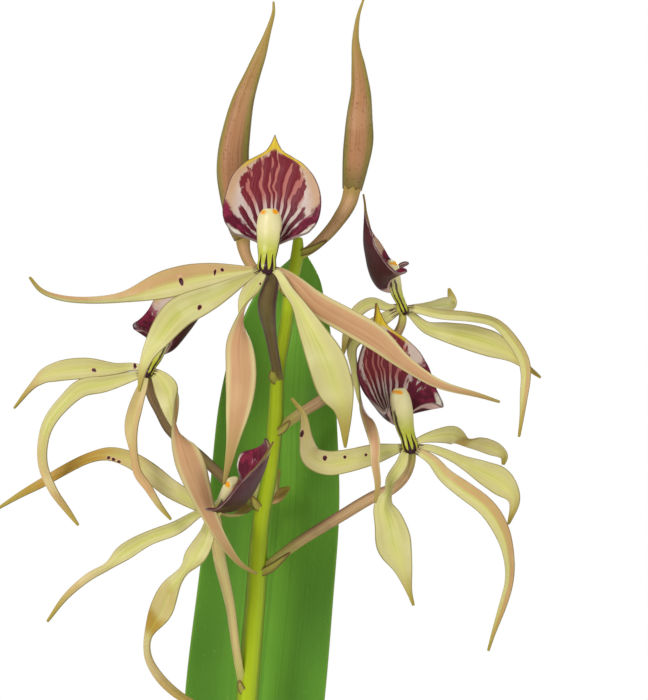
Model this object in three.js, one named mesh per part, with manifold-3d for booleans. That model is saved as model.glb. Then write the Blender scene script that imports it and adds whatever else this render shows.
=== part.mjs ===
// A potted cockleshell orchid: five spider-like flowers with striped shell lips and two long buds on one
// green stem, over strap leaves and ribbed pseudobulbs, growing in bark in a plain terracotta pot.
// Millimetres, +Z up. The origin is the centre of the pot's underside, +X is the right-hand side of the
// flower spray and -Y is the side that the flowers face.
import * as THREE from "three";
import { mergeVertices } from "three/addons/utils/BufferGeometryUtils.js";
import Module from "manifold-3d";

// Driving dimensions: pot and bark
const POT_HEIGHT = 105;
const POT_RIM_RADIUS = 64;
const POT_FOOT_RADIUS = 45;
const POT_WALL = 5;
const RIM_BAND_HEIGHT = 22;
const RIM_BAND_STEP = 3;
const DRAIN_HOLES = 4;
const DRAIN_RADIUS = 4.5;
const DRAIN_CIRCLE = 24;
const BARK_LEVEL = 92;
const CHIP_COUNT = 26;
const CHIP_LENGTH = 20;
const CHIP_WIDTH_SHARES = [0.5, 0.8];
const CHIP_THICKNESS = [4, 6.5];
const CHIP_TILT = 0.35;
const CHIP_STAND = 3;

// Driving dimensions: plant
const GAP = 0.3;
const BULB_SUNK = 3;
const LEAF_THICK = 1.1;
const TEPAL_THICK = 0.7;
const LIP_THICK = 0.7;
const HUB_RADIUS = 2.6;
const ROOT_WIDTH = 2.4;

const FRONT = new THREE.Vector3(0, -1, 0);
const UP = new THREE.Vector3(0, 0, 1);
const MERGE_DISTANCE = 1e-4;

const LOOKS = {
  terracotta: { color: 0xb8704a, roughness: 0.85, metalness: 0 },
  bark: { color: 0x5e3f2a, roughness: 0.95, metalness: 0 },
  root: { color: 0xc9c6a8, roughness: 0.8, metalness: 0 },
  bulb: { color: 0x7d9a3c, roughness: 0.5, metalness: 0 },
  leaf: { color: 0x4c8a22, roughness: 0.45, metalness: 0 },
  sheath: { color: 0xb59b6a, roughness: 0.8, metalness: 0 },
  scape: { color: 0x98b81e, roughness: 0.45, metalness: 0 },
  pedicel: { color: 0x8d6b55, roughness: 0.5, metalness: 0 },
  bud: { color: 0xb08a5a, roughness: 0.5, metalness: 0 },
  tepal: { color: 0xd6d693, roughness: 0.45, metalness: 0 },
  lip: { color: 0x7a1b3c, roughness: 0.45, metalness: 0 },
  column: { color: 0xe9e8b0, roughness: 0.35, metalness: 0 },
};

// Solids: a closed geometry becomes a solid for joining and cutting, and comes back as a geometry. A cut
// keeps the largest body that it leaves.
const wasm = await Module();
wasm.setup();

function solidOf(geometry) {
  const bare = geometry.clone();
  bare.deleteAttribute("normal");
  bare.deleteAttribute("uv");
  const merged = mergeVertices(bare, MERGE_DISTANCE);
  return new wasm.Manifold(
    new wasm.Mesh({
      numProp: 3,
      vertProperties: merged.attributes.position.array,
      triVerts: new Uint32Array(merged.index.array),
    }),
  );
}

function geometryOf(solid) {
  const mesh = solid.getMesh();
  const geometry = new THREE.BufferGeometry();
  geometry.setAttribute("position", new THREE.BufferAttribute(mesh.vertProperties, mesh.numProp));
  geometry.setIndex(new THREE.BufferAttribute(mesh.triVerts, 1));
  geometry.computeVertexNormals();
  return geometry;
}

function joined(geometries) {
  return geometries.map(solidOf).reduce((whole, piece) => whole.add(piece));
}

function cut(solid, cutters) {
  const rest = cutters.reduce((whole, cutter) => whole.subtract(cutter), solid);
  const bodies = rest.decompose();
  return bodies.reduce((largest, body) => (body.volume() > largest.volume() ? body : largest));
}

// Scene graph: every piece is one named mesh in the plant's group
const plant = new THREE.Group();

function addPiece(name, shape, look) {
  const geometry = shape.isBufferGeometry ? shape : geometryOf(shape);
  const piece = new THREE.Mesh(geometry, new THREE.MeshStandardMaterial(LOOKS[look]));
  piece.name = name;
  plant.add(piece);
}

// A closed surface through rings of equal length. Each ring runs anticlockwise seen from the end that
// the loft runs to. Triangles in the second half of a ring mirror those of the first, so that the two
// faces of a thin blade are split alike.
function loft(rings) {
  const count = rings[0].length;
  const points = rings.flat();
  const faces = [];
  for (let i = 0; i < rings.length - 1; i += 1) {
    for (let k = 0; k < count; k += 1) {
      const next = (k + 1) % count;
      const [a, b, c, d] = [i * count + k, i * count + next, (i + 1) * count + next, (i + 1) * count + k];
      faces.push(...(k < count / 2 ? [a, b, c, a, c, d] : [a, b, d, b, c, d]));
    }
  }
  [0, rings.length - 1].forEach((end) => {
    const centre = points.length;
    const middle = rings[end].reduce((sum, p) => sum.add(p), new THREE.Vector3()).divideScalar(count);
    points.push(middle);
    for (let k = 0; k < count; k += 1) {
      const [here, next] = [end * count + k, end * count + ((k + 1) % count)];
      faces.push(...(end === 0 ? [centre, next, here] : [centre, here, next]));
    }
  });
  const geometry = new THREE.BufferGeometry().setFromPoints(points);
  geometry.setIndex(faces);
  geometry.computeVertexNormals();
  return geometry;
}

// The frames along a run of stations [x, y, z, width, turn]. The face looks along the facing direction,
// turned about the run by the turn in degrees.
function framesAlong(stations, cuts, facing) {
  const spans = stations.length - 1;
  const path = new THREE.CatmullRomCurve3(stations.map(([x, y, z]) => new THREE.Vector3(x, y, z)));
  const measures = new THREE.CatmullRomCurve3(
    stations.map(([, , , width, turn = 0]) => new THREE.Vector3(width, turn, 0)),
    false,
    "catmullrom",
  );
  return Array.from({ length: spans * cuts + 1 }, (_, i) => {
    const t = i / (spans * cuts);
    const along = path.getTangent(t);
    const measure = measures.getPoint(t);
    const face = facing.clone().addScaledVector(along, -facing.dot(along)).normalize();
    face.applyAxisAngle(along, THREE.MathUtils.degToRad(measure.y));
    const side = new THREE.Vector3().crossVectors(along, face);
    return { at: path.getPoint(t), face, side, width: measure.x, t };
  });
}

// The value at share t of a list whose values stand at even steps, in straight lines between them
function sampled(values, t) {
  const place = t * (values.length - 1);
  const before = Math.floor(place);
  const after = Math.min(before + 1, values.length - 1);
  return THREE.MathUtils.lerp(values[before], values[after], place - before);
}

// A thin blade, such as a petal or leaf. The cup is the rise of both edges towards the face, as a share
// of the width, and the droop is how far the edges hang down, both given at even steps along the run.
function blade(stations, options = {}) {
  const { across = 2, cuts = 1, thick = TEPAL_THICK, cups = [0.12], droops = [0], facing = FRONT } = options;
  const rings = framesAlong(stations, cuts, facing).map(({ at, face, side, width, t }) => {
    const wide = Math.max(width, thick);
    const cup = sampled(cups, t);
    const droop = sampled(droops, t);
    const inner = [];
    const outer = [];
    for (let j = 0; j <= across; j += 1) {
      const u = (2 * j) / across - 1;
      const normal = face.clone().addScaledVector(side, -4 * cup * u).normalize();
      const middle = at.clone().addScaledVector(side, (u * wide) / 2);
      middle.addScaledVector(face, cup * wide * u * u);
      middle.z -= droop * wide * u * u;
      inner.push(middle.clone().addScaledVector(normal, thick / 2));
      outer.unshift(middle.clone().addScaledVector(normal, -thick / 2));
    }
    return [...inner, ...outer];
  });
  return loft(rings);
}

// A stalk with a round or oval section: depth is its size towards the face as a share of its width,
// and grow adds to its radius where it serves as a cutter.
function stalk(stations, { sides = 8, cuts = 1, depth = 1, grow = 0, facing = FRONT } = {}) {
  const rings = framesAlong(stations, cuts, facing).map(({ at, face, side, width }) =>
    Array.from({ length: sides }, (_, k) => {
      const angle = (2 * Math.PI * k) / sides;
      return at
        .clone()
        .addScaledVector(face, Math.cos(angle) * ((width * depth) / 2 + grow))
        .addScaledVector(side, Math.sin(angle) * (width / 2 + grow));
    }),
  );
  return loft(rings);
}

// Repeatable random numbers between two bounds for the scatter of the bark chips
const STREAM_FACTOR = 16807;
const STREAM_LIMIT = 2147483647;

function randomStream(seed) {
  let state = seed;
  return (low, high) => {
    state = (state * STREAM_FACTOR) % STREAM_LIMIT;
    return low + ((high - low) * state) / STREAM_LIMIT;
  };
}

// Pot: a thrown terracotta pot with a rim band and drain holes off its centre
const POT_SEGMENTS = 32;
const POT_FLOOR = 6;
const ROUNDING = 1.2;
const BAND_FLARE = 0.4;
const DRILL_LENGTH = 18;

function potRadiusAt(z) {
  return POT_FOOT_RADIUS + ((POT_RIM_RADIUS - RIM_BAND_STEP - POT_FOOT_RADIUS) * z) / POT_HEIGHT;
}

function makePot() {
  const bandFoot = POT_HEIGHT - RIM_BAND_HEIGHT;
  const inside = potRadiusAt(POT_HEIGHT) - POT_WALL;
  const outline = [
    [0, 0],
    [POT_FOOT_RADIUS - ROUNDING, 0],
    [POT_FOOT_RADIUS, ROUNDING],
    [potRadiusAt(bandFoot), bandFoot],
    [POT_RIM_RADIUS - ROUNDING, bandFoot],
    [POT_RIM_RADIUS - BAND_FLARE, bandFoot + ROUNDING],
    [POT_RIM_RADIUS, POT_HEIGHT - ROUNDING],
    [POT_RIM_RADIUS - ROUNDING, POT_HEIGHT],
    [inside + ROUNDING, POT_HEIGHT],
    [inside, POT_HEIGHT - ROUNDING],
    [potRadiusAt(POT_FLOOR) - POT_WALL, POT_FLOOR],
    [0, POT_FLOOR],
  ].map(([radius, z]) => new THREE.Vector2(radius, z));
  const body = new THREE.LatheGeometry(outline, POT_SEGMENTS).rotateX(Math.PI / 2);
  const drains = Array.from({ length: DRAIN_HOLES }, (_, i) => {
    const angle = (2 * Math.PI * (i + 0.5)) / DRAIN_HOLES;
    const drill = new THREE.CylinderGeometry(DRAIN_RADIUS, DRAIN_RADIUS, DRILL_LENGTH, 14);
    drill.rotateX(Math.PI / 2);
    drill.translate(DRAIN_CIRCLE * Math.cos(angle), DRAIN_CIRCLE * Math.sin(angle), 0);
    return solidOf(drill);
  });
  return cut(solidOf(body), drains);
}

// Pseudobulbs: flattened spindles that stand on the rhizome. Each row is the foot [x, y], the top
// [x, y, z] and the greatest width.
const BULB_DEPTH = 0.62;
const BULBS = [
  { foot: [-3.5, 4], top: [-3.5, 0.5, 178], width: 28 },
  { foot: [16, 11], top: [25, 14, 163], width: 26 },
  { foot: [-22, 11], top: [-31, 15, 158], width: 26 },
  { foot: [33, 20], top: [46, 30, 148], width: 23 },
  { foot: [-35, 20], top: [-46, 31, 144], width: 22 },
];
const BULB_PROFILE = [
  [0, 0.3],
  [0.08, 0.5],
  [0.22, 0.82],
  [0.4, 1],
  [0.58, 0.94],
  [0.75, 0.72],
  [0.9, 0.48],
  [1, 0.38],
];

function bulbGeometry({ foot, top, width }, grow = 0) {
  const base = new THREE.Vector3(foot[0], foot[1], BARK_LEVEL - BULB_SUNK);
  const tip = new THREE.Vector3(...top);
  const stations = BULB_PROFILE.map(([share, girth]) => [
    ...base.clone().lerp(tip, share).toArray(),
    width * girth,
  ]);
  return stalk(stations, { sides: 12, depth: BULB_DEPTH, grow });
}

// Rhizome: a creeping stem through the feet of the bulbs, with roots that run out over the bark and
// dip into it
const RHIZOME_Z = BARK_LEVEL - 1;
const RHIZOME = [
  [-43, 24, RHIZOME_Z - 1, 5],
  [-35, 20, RHIZOME_Z, 8],
  [-22, 11, RHIZOME_Z, 8],
  [-3.5, 4, RHIZOME_Z, 9],
  [16, 11, RHIZOME_Z, 8],
  [33, 20, RHIZOME_Z, 8],
  [41, 24, RHIZOME_Z - 1, 5],
];
const ROOTS = [
  [[-4, 3], [-8, -10], [-20, -19], [-24, -33]],
  [[-2, 2], [4, -12], [2, -26], [12, -38]],
  [[-22, 12], [-32, 3], [-40, -6], [-49, -9]],
  [[15, 10], [27, 1], [34, -12], [46, -17]],
  [[18, 13], [14, 26], [19, 36], [13, 46]],
  [[-26, 15], [-24, 27], [-30, 35], [-27, 42]],
  [[33, 20], [41, 12], [45, 4], [49, 2]],
];
const ROOT_HEIGHTS = [RHIZOME_Z, BARK_LEVEL + 0.6, BARK_LEVEL + 0.2, BARK_LEVEL - 5];

function rhizomeSolid(grow = 0) {
  const stem = stalk(RHIZOME, { grow, facing: UP });
  const roots = ROOTS.map((points) => {
    const stations = points.map(([x, y], i) => [x, y, ROOT_HEIGHTS[i], ROOT_WIDTH]);
    return stalk(stations, { sides: 5, grow, facing: UP });
  });
  return joined([stem, ...roots]);
}

// Bark: a fill of the pot with loose chips standing out of its surface
const BARK_RADIUS = potRadiusAt(BARK_LEVEL) - POT_WALL - GAP;
const FILL_FOOT = POT_FLOOR + GAP;
const FILL_TOP = BARK_LEVEL - CHIP_STAND;
const FILL_CROWN = 1;
const CHIP_CLEARANCE = 1.5;
const CHIP_SEED = 20260;
const GOLDEN_ANGLE = Math.PI * (3 - Math.sqrt(5));

function barkSolid() {
  const random = randomStream(CHIP_SEED);
  const outline = [
    [0, FILL_FOOT],
    [potRadiusAt(FILL_FOOT) - POT_WALL - GAP, FILL_FOOT],
    [potRadiusAt(FILL_TOP) - POT_WALL - GAP, FILL_TOP],
    [0, FILL_TOP + FILL_CROWN],
  ].map(([radius, z]) => new THREE.Vector2(radius, z));
  const fill = new THREE.LatheGeometry(outline, POT_SEGMENTS).rotateX(Math.PI / 2);
  const reach = BARK_RADIUS - CHIP_LENGTH / 2 - CHIP_CLEARANCE;
  const chips = Array.from({ length: CHIP_COUNT }, (_, i) => {
    const radius = reach * Math.sqrt((i + 0.5) / CHIP_COUNT);
    const angle = i * GOLDEN_ANGLE + random(0, 1);
    const long = CHIP_LENGTH * random(0.65, 1);
    const chip = new THREE.BoxGeometry(long, long * random(...CHIP_WIDTH_SHARES), random(...CHIP_THICKNESS));
    chip.rotateX(random(-CHIP_TILT, CHIP_TILT));
    chip.rotateY(random(-CHIP_TILT, CHIP_TILT));
    chip.rotateZ(random(0, Math.PI));
    return chip.translate(radius * Math.cos(angle), radius * Math.sin(angle), FILL_TOP + random(0.8, 1.8));
  });
  return joined([fill, ...chips]);
}

// Leaves: the tall leaf behind the flowers is drawn by its stations, the others arch out from the
// tops of the bulbs
const TALL_LEAF = [
  [-3.5, 4.6, 178.9, 8],
  [-3.3, 5.5, 190, 10],
  [-2.6, 8, 208, 17],
  [-0.8, 11.5, 232, 25],
  [1.8, 14.5, 262, 31],
  [4.2, 16, 289.4, 33.6],
  [6.9, 16, 315.9, 32.8],
  [8.9, 16.5, 337, 31.6],
  [9.7, 17, 358.8, 28.7],
  [11, 17, 373, 24.8],
  [12.8, 17.5, 384.5, 18.4],
  [14.6, 18, 391.5, 11.2],
  [15.6, 18, 397.6, 1.6],
];
const ARCHED_LEAVES = [
  { bulb: 0, heading: -95, rise: [80, -28], length: 165, width: 30 },
  { bulb: 1, heading: -42, rise: [78, -22], length: 170, width: 29 },
  { bulb: 1, heading: 105, rise: [80, -10], length: 150, width: 27 },
  { bulb: 2, heading: 121, rise: [80, -18], length: 155, width: 27 },
  { bulb: 2, heading: -128, rise: [78, -26], length: 165, width: 28 },
  { bulb: 3, heading: -22, rise: [76, -30], length: 145, width: 26 },
  { bulb: 3, heading: 84, rise: [78, -16], length: 135, width: 24 },
  { bulb: 4, heading: 168, rise: [76, -28], length: 140, width: 25 },
];
const LEAF_FORM = [0.26, 0.42, 0.78, 0.97, 1, 0.92, 0.66, 0.06];
const LEAF_OFFSET = 3.9;
const LEAF_LIFT = 0.9;

function archedLeaf({ bulb, heading, rise, length, width }) {
  const [x, y, z] = BULBS[bulb].top;
  const turn = THREE.MathUtils.degToRad(heading);
  const outward = new THREE.Vector3(Math.cos(turn), Math.sin(turn), 0);
  const at = new THREE.Vector3(x, y, z + LEAF_LIFT).addScaledVector(outward, LEAF_OFFSET);
  const step = length / (LEAF_FORM.length - 1);
  const stations = LEAF_FORM.map((form, i) => {
    const station = [...at.toArray(), width * form];
    const degrees = THREE.MathUtils.lerp(rise[0], rise[1], i / (LEAF_FORM.length - 2));
    const slope = THREE.MathUtils.degToRad(degrees);
    at.addScaledVector(outward, step * Math.cos(slope)).addScaledVector(UP, step * Math.sin(slope));
    return station;
  });
  return blade(stations, { across: 4, thick: LEAF_THICK, cups: [0.09], facing: UP });
}

// Flowering stem: slightly zigzag from joint to joint, with a small pointed bract under each stalk
const SCAPE = [
  [-3.5, 0.5, 178.9, 6],
  [-2.6, 0.5, 205, 6],
  [-0.6, 0, 240, 5.8],
  [1.3, 0, 270, 5.4],
  [2.8, 0, 291.5, 5.2],
  [4.8, 0, 315, 4.7],
  [6.1, 0, 333.8, 4.1],
  [8.2, 0, 344.8, 3.6],
  [9.4, 0, 357, 3.7],
  [10, 0, 368, 3.2],
  [11.8, 0, 378.5, 3.1],
  [13, 0, 388, 3.1],
  [14.6, 0, 396, 3],
  [14.8, 0, 400.2, 2.2],
];
const BRACTS = [
  [[3, -1, 292.5, 1.4], [1.6, -2.2, 294.4, 1.8], [1, -2.4, 296.4, 0.7]],
  [[5, -1.2, 321, 1.5], [8.4, -2, 322.6, 1.9], [13, -2.4, 326.4, 0.7]],
  [[6.4, -1, 336, 1.4], [5, -2, 337.6, 1.9], [4, -2.2, 339.6, 0.7]],
  [[9.2, -1, 354, 1.4], [11.2, -1.6, 355.2, 1.8], [13, -1.8, 357.2, 0.7]],
  [[10, -1, 366.2, 1.6], [9, -2.3, 367.4, 2.2], [8.8, -2.6, 369.4, 0.7]],
  [[13, -0.8, 386.6, 1.3], [11.6, -1.5, 387.4, 1.7], [10.6, -1.7, 388.9, 0.7]],
  [[15, -0.8, 396.4, 1.5], [18.2, -1.5, 397.4, 1.6], [21.6, -1.9, 399.4, 0.7]],
];

function scapeSolid(grow = 0) {
  const bractThick = TEPAL_THICK + 2 * grow;
  const bracts = BRACTS.map((stations) => blade(stations, { thick: bractThick, cups: [0.2] }));
  return joined([stalk(SCAPE, { sides: 10, grow }), ...bracts]);
}

const SHEATH = [
  [-7.9, 0.8, 178.9, 4],
  [-7.8, 0.6, 190, 6.4],
  [-6.8, 0.4, 205, 7],
  [-5.4, 0, 220, 4],
  [-5, -0.4, 228, 0.9],
];

// Flowers. Centres are places of the plant, stations are measured from the flower's centre, with the
// width and the turn of the blade about its own run. A turn near 180 shows the petal's outer side.
const BLOOMS = {
  bloom_a: {
    centre: [8, -24, 392.3],
    up: [0.051, 0.292, 0.955],
    facing: [-0.099, -0.95, 0.295],
    size: 0.98,
    form: { depth: 0.36, droop: 0.02, tip: -1 },
    pedicel: [
      [9.1, -21.2, 390.2, 3],
      [7.9, -18, 384.4, 4.4],
      [8.6, -10, 377.2, 2.8],
      [9.7, -3, 370, 2.4],
      [10.3, 0, 366.7, 2.4],
    ],
    tepals: [
      {
        run: [
          [-1, 0, 0, 1.6, 0],
          [-3.4, 0, -0.5, 1.8, 0],
          [-11.8, 2, -1.3, 5, 0],
          [-18.3, 4, -2.4, 6.6, 0],
          [-24.3, 6, -4, 6.4, 10],
          [-32.7, 8, -6.6, 3.4, 40],
          [-41.8, 10, -7.3, 2.4, 55],
          [-47.9, 12, -6.6, 2, 55],
          [-52.4, 13, -4.9, 1.4, 50],
          [-55.2, 14, -1.6, 0.6, 40],
        ],
      },
      {
        run: [
          [-1, 0, -0.6, 1.4, 0],
          [-3.8, -1, -1.9, 1.6, 0],
          [-12.2, -5, -6.7, 5.4, 0],
          [-19.1, -9, -10.1, 7.1, 0],
          [-22.7, -12, -14.6, 6, 5],
          [-25.8, -13, -19.7, 3.4, 25],
          [-27.1, -13, -23, 2.4, 35],
          [-28, -12, -27.8, 0.6, 40],
        ],
      },
      {
        twisted: true,
        run: [
          [-0.4, -0.4, -0.6, 1.6, 0],
          [-1.1, -2, -1.9, 1.8, 0],
          [-3.6, -6, -5.6, 3.8, 15],
          [-5.1, -10, -10.1, 3.8, 80],
          [-5.7, -12, -17.4, 6.2, 165],
          [-5.4, -13, -24.3, 6.9, 180],
          [-6.1, -13, -31.8, 5.5, 180],
          [-7.5, -11, -39.6, 2.7, 185],
          [-9.4, -8, -48.6, 0.6, 190],
        ],
      },
      {
        run: [
          [0.8, -0.4, -0.4, 1.4, 0],
          [2.5, -2, -1.2, 1.6, 0],
          [4.8, -4, -5.1, 2.4, 0],
          [7.1, -6, -8.3, 3, 0],
          [9.8, -8, -13.6, 5.6, 0],
          [13.1, -7, -20.3, 8.5, 0],
          [15.6, -4, -27.5, 8.1, 0],
          [17.4, -2, -32.3, 4.1, 15],
          [17.7, 2, -40.8, 0.6, 30],
        ],
      },
      {
        run: [
          [1, 0, -0.3, 1.4, 180],
          [3.4, 0, -0.9, 1.8, 180],
          [7.5, -2, -4.4, 3.6, 180],
          [10.7, -3, -7.8, 5.4, 180],
          [17.6, -4, -11.8, 5.8, 180],
          [24.6, -4, -15.9, 5.8, 180],
          [31.1, -3, -21.5, 3.4, 190],
          [38.6, -2, -26.2, 2.2, 200],
          [47.6, -1, -28.7, 1.2, 200],
          [52.7, 0, -30.3, 0.6, 200],
        ],
      },
    ],
  },
  bloom_b: {
    centre: [-19.4, -16, 368.5],
    up: [0.342, 0.466, 0.816],
    facing: [-0.538, -0.615, 0.577],
    size: 0.81,
    form: { depth: 1.12, low: 0.85, lift: 3 },
    pedicel: [
      [-19.4, -14, 367.6, 2.4],
      [-18.8, -12.2, 363.6, 2.6],
      [-16.9, -11, 359.6, 2.6],
      [-14.7, -10, 355.2, 2.4],
      [-7.9, -7, 349.2, 2.4],
      [-2.2, -4.6, 343.6, 2.6],
      [4.9, 0, 337.3, 2.6],
    ],
    tepals: [
      {
        run: [
          [-0.8, 0, 0.4, 1.4, 0],
          [-2.5, 0, 1.4, 1.6, 0],
          [-7.9, 2, 0.9, 2.8, 0],
          [-13.6, 4, 1.1, 4.8, 0],
          [-20.3, 6, 0.4, 4.9, 10],
          [-24.3, 7, -0.8, 3.6, 20],
          [-27.2, 7.5, -3.1, 2, 40],
          [-31.7, 8, -8.4, 0.6, 50],
        ],
      },
      {
        run: [
          [-0.8, 0, -0.2, 1.6, 0],
          [-2.4, -1, -0.5, 2, 0],
          [-9.6, -2, -2.5, 3.6, 0],
          [-14.6, -3, -3.4, 4.3, 10],
          [-18.1, -4, -6.4, 3.8, 25],
          [-21.8, -4, -10.9, 3.4, 30],
          [-23.4, -4, -15.7, 3.2, 35],
          [-23.5, -3, -21, 2.8, 35],
          [-21.4, -3, -26.6, 2.4, 30],
          [-18.3, -2, -31.2, 1.6, 20],
          [-15.7, -2, -34.8, 0.6, 10],
        ],
      },
      {
        twisted: true,
        run: [
          [0.4, 0, 0, 1.8, 0],
          [1.7, -1, -0.2, 2.6, 0],
          [4.4, -4, -3.4, 5.4, 0],
          [5.5, -7, -7.2, 4.6, 30],
          [7, -10, -12.3, 3.8, 90],
          [9.1, -12, -17, 5.8, 165],
          [10.5, -12, -21, 6.7, 180],
          [12.2, -10.6, -26, 5.6, 180],
          [14.3, -8, -32, 3.6, 180],
          [17.3, -4.4, -38.1, 2.5, 180],
          [21.1, 0, -43.7, 1.2, 180],
          [24.9, 4, -46.4, 0.6, 180],
        ],
      },
      {
        run: [
          [-0.2, -0.2, -0.4, 1.4, 0],
          [-0.5, -1, -1.4, 1.6, 0],
          [-1.2, -2.5, -3.6, 2.4, 0],
          [-2.5, -4, -7.7, 3.2, 0],
          [-3.2, -6, -12.2, 3.4, 20],
          [-2.4, -8, -17.8, 2.8, 50],
          [-1.6, -9, -22.3, 2.6, 40],
          [0.7, -10, -25.6, 2.2, 30],
          [3.2, -10, -29.6, 1.6, 30],
          [5.9, -10, -33, 0.6, 30],
        ],
      },
      {
        back: true,
        run: [
          [0.8, 0.6, -0.4, 1.4, 0],
          [2.6, 2.4, -1.5, 1.8, 0],
          [4, 6, -2.8, 2.6, 0],
          [4.6, 11, -4.6, 3.2, 0],
          [5, 15.5, -8, 2.6, 0],
          [5.2, 18, -12, 0.6, 10],
        ],
      },
    ],
  },
  bloom_c: {
    centre: [-4, -16, 336.7],
    up: [0.443, -0.707, 0.552],
    facing: [-0.813, -0.057, 0.579],
    size: 0.9,
    form: { depth: 1.12, low: 0.55, droop: 0.036 },
    pedicel: [
      [-3.8, -14.4, 334.4, 2.6],
      [-3.3, -12, 326.5, 3],
      [-0.9, -7, 314.5, 2.3],
      [0.4, -4, 303.7, 2],
      [2, 0, 293.4, 2],
    ],
    tepals: [
      {
        run: [
          [-0.8, 0, 0.2, 1.6, 0],
          [-2.7, -1, 0.7, 2, 0],
          [-5.7, -1, 2.8, 3.6, 0],
          [-10.8, 0, 5.7, 4.4, 0],
          [-15, 1, 9.1, 4.4, 0],
          [-19.4, 2, 11.8, 3.9, 0],
          [-24.3, 3, 13.1, 3.2, 10],
          [-29, 4, 12.2, 2.6, 25],
          [-34.9, 5, 9.3, 2.6, 30],
          [-40.6, 5, 6.1, 2.4, 30],
          [-45.4, 6, 3.5, 1.6, 30],
          [-50.7, 6, 0.3, 0.6, 30],
        ],
      },
      {
        run: [
          [-0.8, -0.4, 0, 1.4, 0],
          [-3.4, -2, -0.1, 1.8, 0],
          [-8.8, -3, -3.5, 3.2, 0],
          [-14.9, -4, -5.7, 3.3, 0],
          [-20, -5, -8.6, 3.9, 0],
          [-24.1, -5, -12.2, 2.6, 50],
          [-28.6, -6, -14.6, 2.2, 40],
          [-33.6, -6, -18.9, 1.6, 30],
          [-37.9, -6, -24.6, 0.6, 30],
        ],
      },
      {
        twisted: true,
        run: [
          [-0.4, -0.6, -0.6, 1.6, 0],
          [-1.1, -2, -1.7, 2, 0],
          [-1.7, -4, -5, 3.6, 0],
          [-4.1, -6, -9.6, 5, 10],
          [-6.6, -6, -13.3, 4.2, 60],
          [-10.1, -5, -17.9, 5.2, 20],
          [-12.2, -4, -22.5, 5.4, 10],
          [-14.8, -2, -27.3, 3, 40],
          [-15.4, -1, -30.4, 2.4, 50],
          [-14.9, 0, -34.1, 2.4, 40],
          [-12.2, 1, -38.6, 2.7, 30],
          [-6.6, 2, -43.3, 2.3, 30],
          [1.5, 2, -46.6, 0.6, 30],
        ],
      },
      {
        back: true,
        run: [
          [0.5, 0.6, 0.2, 1.4, 0],
          [1.4, 4, 0.7, 1.8, 0],
          [2.8, 11, 0.6, 2.8, 0],
          [4, 17.5, 0.7, 3.2, 0],
          [6.6, 22, 1.8, 3.6, 30],
          [10.2, 24.4, 3.4, 4.2, 70],
          [13, 24, 5, 4.2, 85],
          [14.4, 22.4, 8.6, 0.8, 90],
        ],
      },
      {
        back: true,
        run: [
          [0.6, 0.6, -0.2, 1.4, 0],
          [1.9, 4, -1, 1.8, 0],
          [3.7, 11, -1.6, 2.6, 0],
          [5.5, 18, -1.6, 3, 0],
          [8, 22.5, 0.4, 3.2, 30],
          [10.9, 25.4, 1.6, 3.6, 65],
          [13.8, 25.6, 2.2, 3.6, 80],
          [16.8, 24.6, 4.4, 0.8, 85],
        ],
      },
    ],
  },
  bloom_d: {
    centre: [39.2, 0, 383.4],
    up: [-0.314, -0.12, 0.942],
    facing: [0.947, -0.08, 0.311],
    size: 0.84,
    form: { depth: 1.08, low: 1.2, droop: 0.1, slim: 0.5, sag: 0.9 },
    pedicel: [
      [39.4, 0.8, 381, 2],
      [38.4, 3, 378, 2.2],
      [33, 4, 371.4, 2.4],
      [27, 4, 366.2, 2.7],
      [21.1, 3, 362.4, 2.8],
      [15.2, 2, 358.7, 2.6],
      [10.4, 0, 355.4, 2.6],
    ],
    tepals: [
      {
        run: [
          [0.8, -0.2, 0, 1.4, 0],
          [2.8, -1, 0, 1.8, 0],
          [8.9, -2, -1.2, 2.4, 20],
          [15.8, -3, -1.7, 2.8, 40],
          [21.7, -3, -3.1, 2.8, 40],
          [25.4, -4, -6.8, 2.8, 30],
          [28.2, -4, -11.5, 2.8, 20],
          [28.9, -4, -15.5, 2.4, 20],
          [28.4, -4, -20.2, 2, 20],
          [27.9, -4, -25.3, 1.1, 20],
          [27.2, -4, -30, 0.6, 20],
        ],
      },
      {
        run: [
          [0.7, 0.1, -0.4, 1.4, 0],
          [2.1, 0.3, -1.2, 1.6, 0],
          [5.5, 1, -4.2, 2.8, 0],
          [10.2, 2, -5.4, 4.7, 0],
          [15.7, 2, -6.6, 6.1, 0],
          [20.8, 1.4, -8.2, 6.3, 0],
          [24.9, 1, -10.1, 4.2, 10],
          [28.3, 1, -12.7, 2, 20],
          [32.7, 0, -16.2, 0.6, 20],
        ],
      },
      {
        run: [
          [0.8, 0.4, 0.1, 1.4, 0],
          [2.9, 1.4, 0.2, 1.8, 0],
          [6.9, 6, 0.6, 2.6, 0],
          [10.3, 13, 1.2, 3.8, 10],
          [12.7, 18.6, 1.9, 3, 20],
          [12, 20, 5.4, 0.6, 20],
        ],
      },
      {
        run: [
          [-0.8, -0.2, 0.4, 1.6, 0],
          [-3.2, -0.7, 0.3, 1.8, 0],
          [-7.1, -2, 1.4, 2.8, 0],
          [-10.6, -3, -0.8, 3, 10],
          [-12.7, -4, -5, 2.4, 20],
          [-13.9, -5, -10.8, 0.7, 20],
        ],
      },
      {
        twisted: true,
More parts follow.
